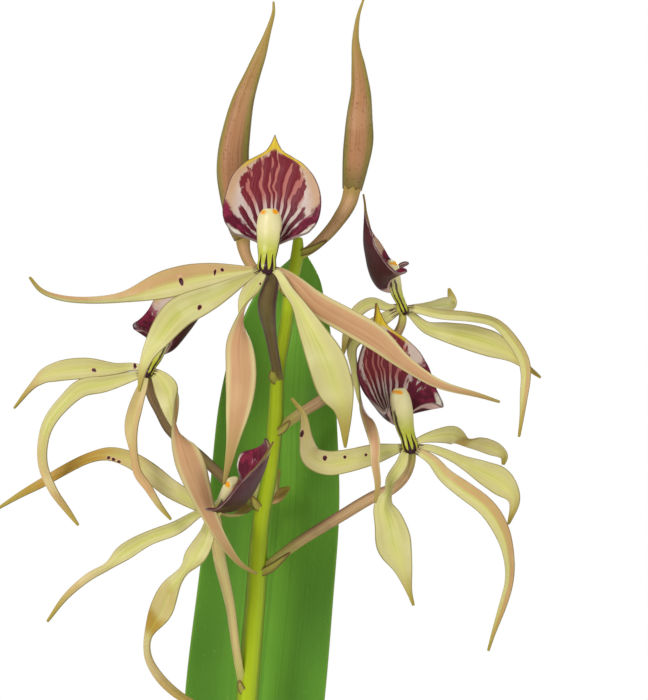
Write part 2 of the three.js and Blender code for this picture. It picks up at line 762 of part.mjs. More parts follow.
        run: [
          [-0.6, -0.2, -0.3, 1.6, 0],
          [-2.3, -0.8, -1.2, 2.4, 0],
          [-7.5, -2, -4.5, 3.7, 0],
          [-11.5, -4, -8.5, 2.8, 20],
          [-11.3, -6, -13.1, 2.2, 40],
          [-10.4, -8, -18.5, 2.2, 60],
          [-9.4, -12, -23, 2.4, 100],
          [-7.8, -17.4, -26.6, 2.8, 160],
          [-6.7, -20, -31.3, 2.4, 180],
          [-6.7, -21, -35.1, 2, 180],
          [-6.1, -22, -40.2, 1.4, 180],
          [-6.7, -22, -44.3, 0.6, 180],
        ],
      },
    ],
  },
  bloom_e: {
    centre: [40.5, -12, 351.4],
    up: [-0.211, 0.178, 0.961],
    facing: [0.612, -0.743, 0.272],
    size: 0.98,
    form: { depth: 1.06, droop: 0.137, tip: 1.5 },
    pedicel: [
      [41, -10.4, 349.2, 2.4],
      [39.7, -9, 344.8, 2.6],
      [36.6, -8, 341.6, 2.8],
      [32.3, -7, 339.6, 2.8],
      [25.1, -5, 335.2, 2.8],
      [14.8, -2, 328.6, 2.5],
      [6.4, 0, 322.1, 2.4],
    ],
    tepals: [
      {
        run: [
          [-0.8, 0, 0, 1.6, 0],
          [-3, -1, -0.4, 2.4, 0],
          [-7.9, -2, -1.5, 4.6, 0],
          [-13.6, -3, -2.9, 5.3, 0],
          [-18.7, -3, -3.6, 5.7, 0],
          [-22.4, -2, -2.2, 5, 0],
          [-23.7, 0, 1.6, 3.2, 10],
          [-24.4, 1, 7.4, 1.6, 20],
          [-27.2, 2, 11.3, 0.6, 20],
        ],
      },
      {
        twisted: true,
        run: [
          [-0.3, -0.3, -0.4, 1.6, 0],
          [-1, -1.4, -1.4, 2, 0],
          [-1.9, -3, -4, 2.8, 0],
          [-4, -4, -7.4, 3, 30],
          [-4.6, -5, -10, 3, 60],
          [-5.7, -5, -13.1, 5, 20],
          [-4.7, -5, -17, 7, 0],
          [-3.6, -4, -22.1, 8.2, 0],
          [-1.5, -3, -27.6, 4.6, 10],
          [-0.1, -2, -32.8, 1.6, 20],
          [1, -1, -36.5, 0.6, 20],
        ],
      },
      {
        run: [
          [0.8, 0, 0.5, 1.4, 0],
          [2.5, 0, 1.6, 1.6, 0],
          [6.5, 2, 2.5, 3.2, 0],
          [10.4, 6, 2.6, 4.6, 10],
          [13.1, 9, 1.3, 3.6, 60],
          [16.6, 12, 0.5, 3.6, 20],
          [20.3, 14, -0.8, 3.6, 10],
          [23, 16, -2.7, 2, 10],
          [22.9, 18, -4.9, 0.7, 10],
        ],
      },
      {
        run: [
          [0.9, 0, 0, 1.4, 0],
          [4.4, 0.2, -0.2, 1.6, 0],
          [8.6, 1, -1.6, 2.2, 0],
          [12.5, 2, -3.5, 3, 0],
          [17.7, 3, -6.1, 5.6, 0],
          [21.6, 3, -8.4, 6.3, 0],
          [24.6, 2, -12.3, 3.2, 30],
          [22.9, 1, -18, 0.6, 50],
        ],
      },
      {
        run: [
          [0.7, -0.2, -0.4, 1.4, 0],
          [2.3, -1, -1.1, 1.8, 0],
          [5.2, -3, -2.9, 2.4, 0],
          [8, -5, -6.2, 3.4, 0],
          [12.3, -7, -9.5, 4.1, 0],
          [17.4, -9, -13.3, 4.2, 10],
          [20.8, -9, -18.5, 3.9, 20],
          [22.5, -8, -24.5, 2.8, 30],
          [22.8, -6, -30.1, 2.2, 35],
          [21.4, -4, -36, 2, 30],
          [19.2, -3, -42.8, 1, 25],
          [18.1, -2, -46.8, 0.6, 20],
        ],
      },
    ],
  },
};

// The shell lip stands behind the column: a narrow claw, two low side lobes, a broad bowl and a small
// pointed tip. Its stations are measured in the flower's own frame.
const LIP = [
  [0, 3.1, 3, 2.2],
  [0, 3.3, 5.2, 3.6],
  [0, 4, 7.7, 14.6],
  [0, 4.4, 10.4, 19.8],
  [0, 4.4, 13.6, 22.6],
  [0, 4, 17, 23],
  [0, 3.4, 20.6, 21.8],
  [0, 2.6, 23.8, 19],
  [0, 1.8, 26.8, 13.2],
  [0, 1.1, 29.4, 5],
  [0, 0.6, 31.6, 2],
  [0, 0.2, 34, 0.2],
];
// At each station: how far both edges rise, how far they droop, and how much of a shallow foot is left
const LIP_CUPS = [0.3, 0.3, 0.56, 0.4, 0.28, 0.2, 0.17, 0.17, 0.15, 0.1, 0.08, 0.05];
const LIP_DROOPS = [1, 1, 0.98, 0.72, 0.34, 0.05, 0, 0, 0, 0, 0, 0];
const LIP_FEET = [1, 1, 0.93, 0.34, 0, 0, 0, 0, 0, 0, 0, 0];
const SLIM_SPAN = [18, 26];
const SAG_RISE = [5, 12];
const SAG_FALL = [20, 32];
const LIFT_SPAN = [3, 7];
const TIP_SPAN = [26, 34];

// A flower's own lip. The depth scales its cups, low leaves its foot shallower, droop lets the lobes hang and
// slim narrows it towards the tip. In millimetres, sag bows its middle to the back, lift raises the bowl on a
// longer claw and tip lengthens its point.
function lipBlade({ depth, low = 1, droop = 0, slim = 0, sag = 0, lift = 0, tip = 0 }) {
  const { smoothstep } = THREE.MathUtils;
  const run = LIP.map(([x, y, z, width]) => {
    const bow = sag * smoothstep(z, ...SAG_RISE) * (1 - smoothstep(z, ...SAG_FALL));
    const rise = lift * smoothstep(z, ...LIFT_SPAN) + tip * smoothstep(z, ...TIP_SPAN);
    return [x, y + bow, z + rise, width * (1 - slim * smoothstep(z, ...SLIM_SPAN))];
  });
  const cups = LIP_CUPS.map((cup, i) => cup * depth * (1 - (1 - low) * LIP_FEET[i]));
  const droops = LIP_DROOPS.map((share) => share * droop);
  return blade(run, { across: 8, thick: LIP_THICK, cups, droops });
}

// The column is a waxy club with a hooded top
const COLUMN = [
  [0, 0.2, 2, 3.6],
  [0, 0, 4.4, 4.8],
  [0, -0.3, 7.4, 5.6],
  [0, -0.7, 10.6, 5.9],
  [0, -1.1, 12.6, 5.1],
  [0, -1.5, 14, 3],
];
const COLUMN_DEPTH = 0.7;

function bloomFrame({ centre, up, facing, size }) {
  const z = new THREE.Vector3(...up).normalize();
  const front = new THREE.Vector3(...facing);
  const y = front.addScaledVector(z, -front.dot(z)).normalize().negate();
  const x = new THREE.Vector3().crossVectors(y, z);
  const turned = new THREE.Matrix4().makeBasis(x, y, z);
  return turned.scale(new THREE.Vector3(size, size, size)).setPosition(...centre);
}

function hub(centre, radius) {
  return new THREE.SphereGeometry(radius, 10, 7).translate(...centre);
}

const grownScape = scapeSolid(GAP);

function addBloom(name, bloom) {
  const frame = bloomFrame(bloom);
  const grownHub = solidOf(hub(bloom.centre, HUB_RADIUS + GAP));
  const tepals = bloom.tepals.map(({ run, back, twisted }) =>
    blade(run, { cuts: twisted ? 2 : 1, facing: back ? UP : FRONT }).translate(...bloom.centre),
  );
  const lip = lipBlade(bloom.form).applyMatrix4(frame);
  const column = stalk(COLUMN, { depth: COLUMN_DEPTH }).applyMatrix4(frame);
  addPiece(`${name}_pedicel`, cut(solidOf(stalk(bloom.pedicel)), [grownHub, grownScape]), "pedicel");
  addPiece(`${name}_tepals`, joined([hub(bloom.centre, HUB_RADIUS), ...tepals]), "tepal");
  addPiece(`${name}_lip`, cut(solidOf(lip), [grownHub]), "lip");
  addPiece(`${name}_column`, cut(solidOf(column), [grownHub]), "column");
}

// Buds: long spindles with a curved point, each on a stalk of its own. The lists run from the foot up.
const BUDS = {
  bud_left: {
    bud: [
      [1.9, -3, 399.8, 3.8],
      [0.8, -3, 403.2, 5.2],
      [-0.15, -3, 409.1, 6.5],
      [-0.6, -3, 415.8, 7.7],
      [-0.4, -3, 420.8, 7.2],
      [0.55, -3, 426.6, 6.3],
      [1.95, -3, 432.5, 5.1],
      [4.1, -3, 438.1, 3.7],
      [5.9, -3, 442.7, 2.8],
      [7.7, -3, 447.9, 1.5],
      [9.1, -3, 452.8, 0.8],
      [9.1, -3, 455.2, 0.5],
    ],
    pedicel: [
      [1.95, -3, 399.4, 3.5],
      [2.4, -3, 396.6, 2.9],
      [4.4, -2.8, 392.8, 2.5],
      [8.25, -2, 390.1, 2.4],
      [12.6, 0, 388, 2.4],
    ],
  },
  bud_right: {
    bud: [
      [27.5, 0, 411.4, 4.4],
      [28.2, 0, 417, 6.1],
      [28.9, 0, 422.9, 6.9],
      [29.1, 0, 428.7, 6.1],
      [29.4, 0, 434.6, 4.7],
      [28.9, 0, 440.5, 3.3],
      [28.3, 0, 446.4, 1.7],
      [28.9, 0, 452, 0.9],
      [30.2, 0, 456.2, 0.5],
    ],
    pedicel: [
      [27.4, 0, 411, 4.1],
      [26.7, 0, 408.4, 3.9],
      [24.9, 0, 405.2, 3.5],
      [22.1, 0, 401.5, 3],
      [17.8, 0, 397.5, 2.3],
      [14.7, 0, 395.8, 2.3],
    ],
  },
};

const BUD_DEPTH = 0.9;

function addBud(name, { bud, pedicel }) {
  addPiece(name, stalk(bud, { sides: 10, depth: BUD_DEPTH }), "bud");
  addPiece(`${name}_pedicel`, cut(solidOf(stalk(pedicel)), [grownScape]), "pedicel");
}

// Assembly
addPiece("pot", makePot(), "terracotta");
const grownBulbs = BULBS.map((bulb) => solidOf(bulbGeometry(bulb, GAP)));
addPiece("bark_medium", cut(barkSolid(), [rhizomeSolid(GAP), ...grownBulbs]), "bark");
addPiece("rhizome", cut(rhizomeSolid(), grownBulbs), "root");
BULBS.forEach((bulb, i) => addPiece(`pseudobulb_${i + 1}`, bulbGeometry(bulb), "bulb"));
addPiece("leaf_1", blade(TALL_LEAF, { across: 4, thick: LEAF_THICK, cups: [0.06] }), "leaf");
ARCHED_LEAVES.forEach((leaf, i) => addPiece(`leaf_${i + 2}`, archedLeaf(leaf), "leaf"));
addPiece("scape", scapeSolid(), "scape");
addPiece("scape_sheath", blade(SHEATH, { facing: new THREE.Vector3(1, 0, 0) }), "sheath");
Object.entries(BLOOMS).forEach(([name, bloom]) => addBloom(name, bloom));
Object.entries(BUDS).forEach(([name, bud]) => addBud(name, bud));

export default plant;
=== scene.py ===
"""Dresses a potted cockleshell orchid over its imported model.

Five spidery flowers hold their striped shell lips uppermost on one green stem, with two long buds at its top,
over strap leaves and ribbed pseudobulbs that grow in bark in a plain terracotta pot. The tables and the mesh
builders work in millimetres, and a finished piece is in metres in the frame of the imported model: +Z up, the
flowers facing -Y and the origin under the centre of the pot.
"""

import logging
import math
from collections.abc import Callable, Sequence
from dataclasses import dataclass, field, replace
from enum import Enum
from random import Random

import bmesh
import bpy
from bmesh.types import BMesh, BMVert
from bpy.types import Material, NodeSocket, NodeTree, Object
from mathutils import Euler, Matrix, Vector, noise


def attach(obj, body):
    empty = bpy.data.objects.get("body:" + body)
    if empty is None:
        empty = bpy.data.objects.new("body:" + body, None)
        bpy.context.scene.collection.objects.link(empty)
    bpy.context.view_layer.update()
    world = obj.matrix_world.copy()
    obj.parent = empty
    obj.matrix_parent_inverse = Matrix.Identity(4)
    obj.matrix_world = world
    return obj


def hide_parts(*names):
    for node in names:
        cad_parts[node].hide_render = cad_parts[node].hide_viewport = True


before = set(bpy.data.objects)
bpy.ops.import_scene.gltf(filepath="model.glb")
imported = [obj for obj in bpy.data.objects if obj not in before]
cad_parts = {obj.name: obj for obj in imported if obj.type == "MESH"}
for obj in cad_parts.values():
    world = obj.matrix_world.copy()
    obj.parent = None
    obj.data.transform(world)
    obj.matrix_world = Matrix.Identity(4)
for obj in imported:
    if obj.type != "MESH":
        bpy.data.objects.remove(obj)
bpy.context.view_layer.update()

LOG = logging.getLogger("orchid")
MM = 0.001
BODY = "root"
FRONT = (0.0, -1.0, 0.0)
UP = (0.0, 0.0, 1.0)
RIGHT = (1.0, 0.0, 0.0)
RUN = "run"
OWN = "own"

Station = tuple[float, ...]
Layer = tuple[object, ...]
Shape = Callable[[float, float, float], tuple[float, float]]


class Slot(Enum):
    """The record's material slots."""

    TERRACOTTA = "terracotta"
    BARK = "bark"
    ROOT = "root"
    BULB = "bulb"
    LEAF = "leaf"
    SHEATH = "sheath"
    SCAPE = "scape"
    PEDICEL = "pedicel"
    BUD = "bud"
    TEPAL = "tepal"
    LIP = "lip"
    COLUMN = "column"


def colour(code: str) -> tuple[float, float, float, float]:
    """Turns an sRGB hex code into linear red, green, blue and alpha."""
    channels = [int(code[i : i + 2], 16) / 255 for i in (1, 3, 5)]
    linear = [c / 12.92 if c <= 0.04045 else ((c + 0.055) / 1.055) ** 2.4 for c in channels]
    return (*linear, 1.0)


def add_node(
    tree: NodeTree,
    kind: str,
    inputs: dict[str | int, object] | None = None,
    stops: Sequence[tuple[float, float]] = (),
    output: str = "",
    **settings: object,
) -> NodeSocket:
    """Adds a node with its settings and links.

    Args:
        tree: The material's node tree.
        kind: The node's type, without ShaderNode at its start.
        inputs: For each input socket, the socket that feeds it or its value.
        stops: For a ramp, each stop's place and grey value.
        output: The output that is wanted, where it isn't the first one in use.
        **settings: The node's properties.

    Returns:
        The output socket.
    """
    made = tree.nodes.new(f"ShaderNode{kind}")
    for name, value in settings.items():
        setattr(made, name, value)
    for key, value in (inputs or {}).items():
        if isinstance(value, NodeSocket):
            tree.links.new(value, made.inputs[key])
        else:
            made.inputs[key].default_value = value
    for i, (place, grey) in enumerate(stops):
        elements = made.color_ramp.elements
        stop = elements[i] if i < 2 else elements.new(place)
        stop.position = place
        stop.color = (grey, grey, grey, 1.0)
    return made.outputs[output] if output else next(s for s in made.outputs if s.enabled)


def read(tree: NodeTree, name: str, axes: str) -> list[NodeSocket]:
    """Reads an attribute of the mesh: the whole of it, then its values on the named axes."""
    whole = add_node(tree, "Attribute", output="Vector", attribute_name=name)
    return [whole, *(add_node(tree, "SeparateXYZ", {0: whole}, output=axis) for axis in axes)]


def paint(tree: NodeTree, ground: str, layers: Sequence[Layer]) -> NodeSocket:
    """Paints layers of colour over a ground, each where all its ramps are up.

    Args:
        tree: The material's node tree.
        ground: The ground's hex code.
        layers: Each layer's hex code, its strength and its ramps. A ramp is a value and the two ends
            between which the layer comes in.

    Returns:
        The colour.
    """
    shade: object = colour(ground)
    for code, amount, *ramps in layers:
        mask: object = amount
        for value, absent, full in ramps:
            mask = add_node(
                tree,
                "MapRange",
                {0: value, 1: absent, 2: full, 3: 0.0, 4: mask},
                interpolation_type="SMOOTHSTEP",
            )
        shade = add_node(tree, "Mix", {0: mask, 6: shade, 7: colour(code)}, data_type="RGBA")
    return shade


def smooth(low: float, high: float, value: float) -> float:
    """Rises smoothly from 0 at low to 1 at high."""
    share = min(max((value - low) / (high - low), 0.0), 1.0)
    return share * share * (3 - 2 * share)


def spline(points: Sequence[Vector], share: float, even: bool = False) -> Vector:
    """A point on the smooth curve through some points.

    Args:
        points: The points, with the same share of the curve between each and the next.
        share: The place on the curve from 0 to 1.
        even: Whether the tangents ignore how far apart the points are.

    Returns:
        The point.
    """
    place = share * (len(points) - 1)
    here = min(int(place), len(points) - 2)
    w = place - here
    b, c = points[here], points[here + 1]
    a = points[here - 1] if here > 0 else 2 * b - c
    d = points[here + 2] if here + 2 < len(points) else 2 * c - b
    if even:
        start, end = (c - a) / 2, (d - b) / 2
    else:
        ab, bc, cd = (max((q - p).length, 1e-6) ** 0.5 for p, q in ((a, b), (b, c), (c, d)))
        start = ((b - a) / ab - (c - a) / (ab + bc) + (c - b) / bc) * bc
        end = ((c - b) / bc - (d - b) / (bc + cd) + (d - c) / cd) * bc
    return (
        b * (2 * w**3 - 3 * w**2 + 1)
        + start * (w**3 - 2 * w**2 + w)
        + c * (3 * w**2 - 2 * w**3)
        + end * (w**3 - w**2)
    )


@dataclass(frozen=True)
class Place:
    """A place on a run: where it is, its directions, and how wide the run is there."""

    at: Vector
    along: Vector
    face: Vector
    side: Vector
    width: float


class Run:
    """A smooth line through stations of x, y, z, width and turn about the line in degrees."""

    def __init__(
        self, stations: Sequence[Station], facing: Station = FRONT, origin: Station = (0, 0, 0)
    ) -> None:
        """Keeps the stations in millimetres, measured from the origin."""
        self.points = [Vector(s[:3]) + Vector(origin) for s in stations]
        self.measures = [Vector((s[3], s[4] if len(s) > 4 else 0.0, 0.0)) for s in stations]
        self.facing = Vector(facing)

    def place(self, share: float) -> Place:
        """The place at a share of the run from 0 to 1."""
        step, least_width = 0.004, 0.15
        before, after = max(share - step, 0.0), min(share + step, 1.0)
        along = (spline(self.points, after) - spline(self.points, before)).normalized()
        width, turn, _ = spline(self.measures, share, even=True)
        face = (self.facing - along * self.facing.dot(along)).normalized()
        face.rotate(Matrix.Rotation(math.radians(turn), 3, along))
        return Place(spline(self.points, share), along, face, along.cross(face), max(width, least_width))


def start_mesh() -> BMesh:
    """Starts a mesh with the two attributes that the finishes read."""
    mesh = bmesh.new()
    mesh.verts.layers.float_vector.new(RUN)
    mesh.verts.layers.float_vector.new(OWN)
    return mesh


def add_blade(
    mesh: BMesh, run: Run, across: int, rows: int, shape: Shape, seed: float = 0.0, closed: bool = False
) -> list[BMVert]:
    """Adds a sheet that follows a run.

    Args:
        mesh: The mesh that the sheet joins.
        run: The line of its middle.
        across: How many faces it has from edge to edge.
        rows: How many faces it has along the run.
        shape: From the share across (-1 to 1) or the angle (0 at the face) where it is closed, the share
            along and the width there, the point's way to the side and towards the face, in millimetres.
        seed: Kept with each point, so that no two sheets have one pattern.
        closed: Whether it goes all round the run.

    Returns:
        The sheet's vertices.
    """
    layer = mesh.verts.layers.float_vector[RUN]
    grid = bmesh.ops.create_grid(mesh, x_segments=across, y_segments=rows, size=1.0)
    places: dict[int, Place] = {}
    for vert in grid["verts"]:
        u, share = vert.co.x * (math.pi if closed else 1), (vert.co.y + 1) / 2
        key = round(share * 10000)
        if key not in places:
            places[key] = run.place(share)
        place = places[key]
        sideways, lift = shape(u, share, place.width)
        vert[layer] = (math.sin(u), share, seed + math.cos(u)) if closed else (u, share, seed)
        vert.co = place.at + place.side * sideways + place.face * lift
    return grid["verts"]


def add_stalk(
    mesh: BMesh, run: Run, sides: int, rows: int, shape: Shape, seed: float = 0.0
) -> list[BMVert]:
    """Adds a round form that follows a run, with its seam merged, its ends filled and its faces outwards.

    Args:
        mesh: The mesh that the form joins.
        run: The line of its middle.
        sides: How many faces it has round the run.
        rows: How many faces it has along the run.
        shape: As for a closed sheet.
        seed: Kept with each point, so that no two forms have one pattern.

    Returns:
        The form's vertices.
    """
    verts = add_blade(mesh, run, sides, rows, shape, seed, closed=True)
    bmesh.ops.remove_doubles(mesh, verts=verts, dist=1e-5)
    rest = [v for v in verts if v.is_valid]
    ends = [e for v in rest for e in v.link_edges if e.is_boundary and e.verts[0] is v]
    caps = bmesh.ops.holes_fill(mesh, edges=ends, sides=0)["faces"]
    bmesh.ops.triangulate(mesh, faces=caps)
    bmesh.ops.recalc_face_normals(mesh, faces=mesh.faces)
    return rest


def keep_own_place(mesh: BMesh, verts: Sequence[BMVert]) -> None:
    """Keeps each vertex's present place in an attribute, for patterns that turn with a flower."""
    layer = mesh.verts.layers.float_vector[OWN]
    for vert in verts:
        vert[layer] = vert.co


def make_piece(name: str, mesh: BMesh, *materials: Material) -> Object:
    """Turns a mesh in millimetres into a smooth shaded object in metres.

    Args:
        name: The piece's name.
        mesh: The mesh, which is freed.
        *materials: The piece's materials.

    Returns:
        The object, at the origin.
    """
    bmesh.ops.scale(mesh, vec=(MM, MM, MM), verts=mesh.verts)
    for face in mesh.faces:
        face.smooth = True
    data = bpy.data.meshes.new(name)
    mesh.to_mesh(data)
    mesh.free()
    for material in materials:
        data.materials.append(material)
    piece = bpy.data.objects.new(name, data)
    bpy.context.scene.collection.objects.link(piece)
    return piece


def thicken(piece: Object, thickness: float, back: bool = True) -> None:
    """Gives a sheet its thickness in millimetres, with its second material on its back."""
    wall = piece.modifiers.new("thickness", "SOLIDIFY")
    wall.thickness = thickness * MM
    wall.offset = 0.0
    wall.use_even_offset = False
    wall.material_offset = 1 if back else 0


def round_off(piece: Object) -> None:
    """Rounds a piece's faces by one level of subdivision."""
    rounding = piece.modifiers.new("rounding", "SUBSURF")
    rounding.levels = rounding.render_levels = 1


def hand_over(piece: Object, node: str) -> None:
    """Puts a piece in the frame in place of its CAD node, and reports it."""
    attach(piece, BODY)
    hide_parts(node)
    LOG.info("%s: %d faces for %s", piece.name, len(piece.data.polygons), node)


@dataclass(frozen=True, kw_only=True)
class Finish:
    """What every finish has: the real material's name and how it takes the light."""

    name: str
    roughness: float = 0.45
    ior: float = 1.42
    gloss: float = 0.3
    subsurface: float = 0.0
    depth_mm: float = 1.2
    relief_mm: float = 0.05

    def build(self) -> Material:
        """Builds the material."""
        material = bpy.data.materials.new(self.name)
        material.use_nodes = True
        tree = material.node_tree
        skin = tree.nodes["Principled BSDF"]
        shade, height = self.pattern(tree)
        bump = add_node(tree, "Bump", {"Height": height, "Distance": self.relief_mm * MM})
        tree.links.new(shade, skin.inputs["Base Color"])
        tree.links.new(bump, skin.inputs["Normal"])
        skin.inputs["Roughness"].default_value = self.roughness
        skin.inputs["IOR"].default_value = self.ior
        skin.inputs["Specular IOR Level"].default_value = self.gloss
        skin.inputs["Subsurface Weight"].default_value = self.subsurface
        skin.inputs["Subsurface Radius"].default_value = (1.0, 0.85, 0.5)
        skin.inputs["Subsurface Scale"].default_value = self.depth_mm * MM
        return material

    def pattern(self, tree: NodeTree) -> tuple[NodeSocket, NodeSocket]:
        """Draws the pattern.

        Args:
            tree: The material's node tree.

        Returns:
            The colour and the height of the relief.
        """
        raise NotImplementedError


@dataclass(frozen=True, kw_only=True)
class PlantSkin(Finish):
    """Plant tissue, fresh or dry, coloured by how far a point is across and along its petal or stalk.

    Its colour turns from the middle to the margins, with streaks along the veins, and changes at the base
    and at the tip. On a closed form, such as a stalk, bud, bulb or root, the margins are its sides as seen
    from the way its run faces, so the darker margin and rim colours there are painted shade on its sides. The
    eye gets a satin, slightly see-through skin with a fine darker edge.
    """

    middle: str
    margin: str
    base: str
    tip: str
    rim: str
    band: tuple[float, float] = (0.1, 0.7)
    base_ends: tuple[float, float] = (0.2, 0.02)
    tip_ends: tuple[float, float] = (0.75, 1.0)
    rim_start: float = 0.9
    rim_amount: float = 0.7
    streak: str = "#8A8A40"
    streak_amount: float = 0.35
    streaks: float = 9.0
    streak_runs: float = 1.6
    streak_detail: float = 3.0
    blotch: str = "#A08A50"
    blotch_amount: float = 0.25
    blotch_mm: float = 9.0
    speck: str = "#4A1A14"
    speck_amount: float = 0.0
    speck_mm: float = 1.2
    speck_ends: tuple[float, float] = (0.64, 0.7)
    midrib: str = "#C3CE6B"
    midrib_amount: float = 0.0
    fade: tuple[float, float] = (1.4, 1.2)
    blush: str = "#C89A6C"
    ochre: str = "#AE8626"
    tinted: float = 0.0
    mark_amount: float = 0.0
    spots: tuple[Station, ...] = ()
    halo: str = "#E2B58E"
    wobbles_per_m: float = 1400.0

    def pattern(self, tree: NodeTree) -> tuple[NodeSocket, NodeSocket]:
        """Draws the bands, veins, blotches, specks and spots."""
        run, u, share = read(tree, RUN, "XY")
        across = add_node(tree, "Math", {0: u}, operation="ABSOLUTE")
        place = add_node(tree, "TexCoord", output="Object")
        stretch = (self.streaks, self.streak_runs, 3.7)
        veins = add_node(tree, "VectorMath", {0: run, 1: stretch}, operation="MULTIPLY")
        veins = add_node(tree, "TexNoise", {"Vector": veins, "Scale": 1.0, "Detail": self.streak_detail})
        shown = add_node(tree, "MapRange", {0: share, 1: self.fade[0], 2: self.fade[1]})
        blotches, specks = (
            add_node(tree, "TexNoise", {"Vector": place, "Scale": 1 / (size * MM), "Detail": 2.0})
            for size in (self.blotch_mm, self.speck_mm)
        )
        _, blush, ochre = read(tree, OWN, "XY")
        uneven = add_node(tree, "Math", {0: blotches, 1: 0.8, 2: blush}, operation="MULTIPLY_ADD")
        # On a closed form the margin band and the rim lie on its sides, away from the way it faces: painted
        # shade
        layers: list[Layer] = [
            (self.margin, 1.0, (across, *self.band)),
            (self.base, 1.0, (share, *self.base_ends)),
            (self.blush, 0.9 * self.tinted, (uneven, 0.5, 1.3)),
            (self.ochre, 0.9 * self.tinted, (ochre, 0.0, 1.0)),
            (self.streak, self.streak_amount, (veins, 0.46, 0.7), (shown, 0.0, 1.0)),
            (self.blotch, self.blotch_amount, (blotches, 0.5, 0.72)),
            (self.midrib, self.midrib_amount, (across, 0.12, 0.0), (shown, 0.0, 1.0)),
            (self.speck, self.speck_amount, (specks, *self.speck_ends)),
            (self.tip, 1.0, (share, *self.tip_ends)),
            (self.rim, self.rim_amount, (across, self.rim_start, self.rim_start + 0.06)),
            (self.speck, self.mark_amount, (share, 0.11, 0.085), (veins, 0.47, 0.5)),
        ]
        fine = {"Vector": place, "Scale": self.wobbles_per_m, "Detail": 1.0}
        wobble = add_node(tree, "TexNoise", fine)
        for x, z, length, width, turn in self.spots:
            local = add_node(
                tree,
                "Mapping",
                {
                    0: place,
                    "Location": (x * MM, 0.0, z * MM),
                    "Rotation": (0.0, math.radians(turn), 0.0),
                    "Scale": (width / 2 * MM, 1e6, length / 2 * MM),
                },
                vector_type="TEXTURE",
            )
            far = add_node(tree, "VectorMath", {0: local}, operation="LENGTH")
            far = add_node(tree, "Math", {0: wobble, 1: 0.9, 2: far}, operation="MULTIPLY_ADD")
            layers += [(self.halo, 0.5, (far, 2.2, 1.7)), (self.speck, 1.0, (far, 1.6, 1.35))]
        relief = add_node(tree, "Math", {0: veins, 1: shown}, operation="MULTIPLY")
        return paint(tree, self.middle, [layer for layer in layers if layer[1] > 0]), relief


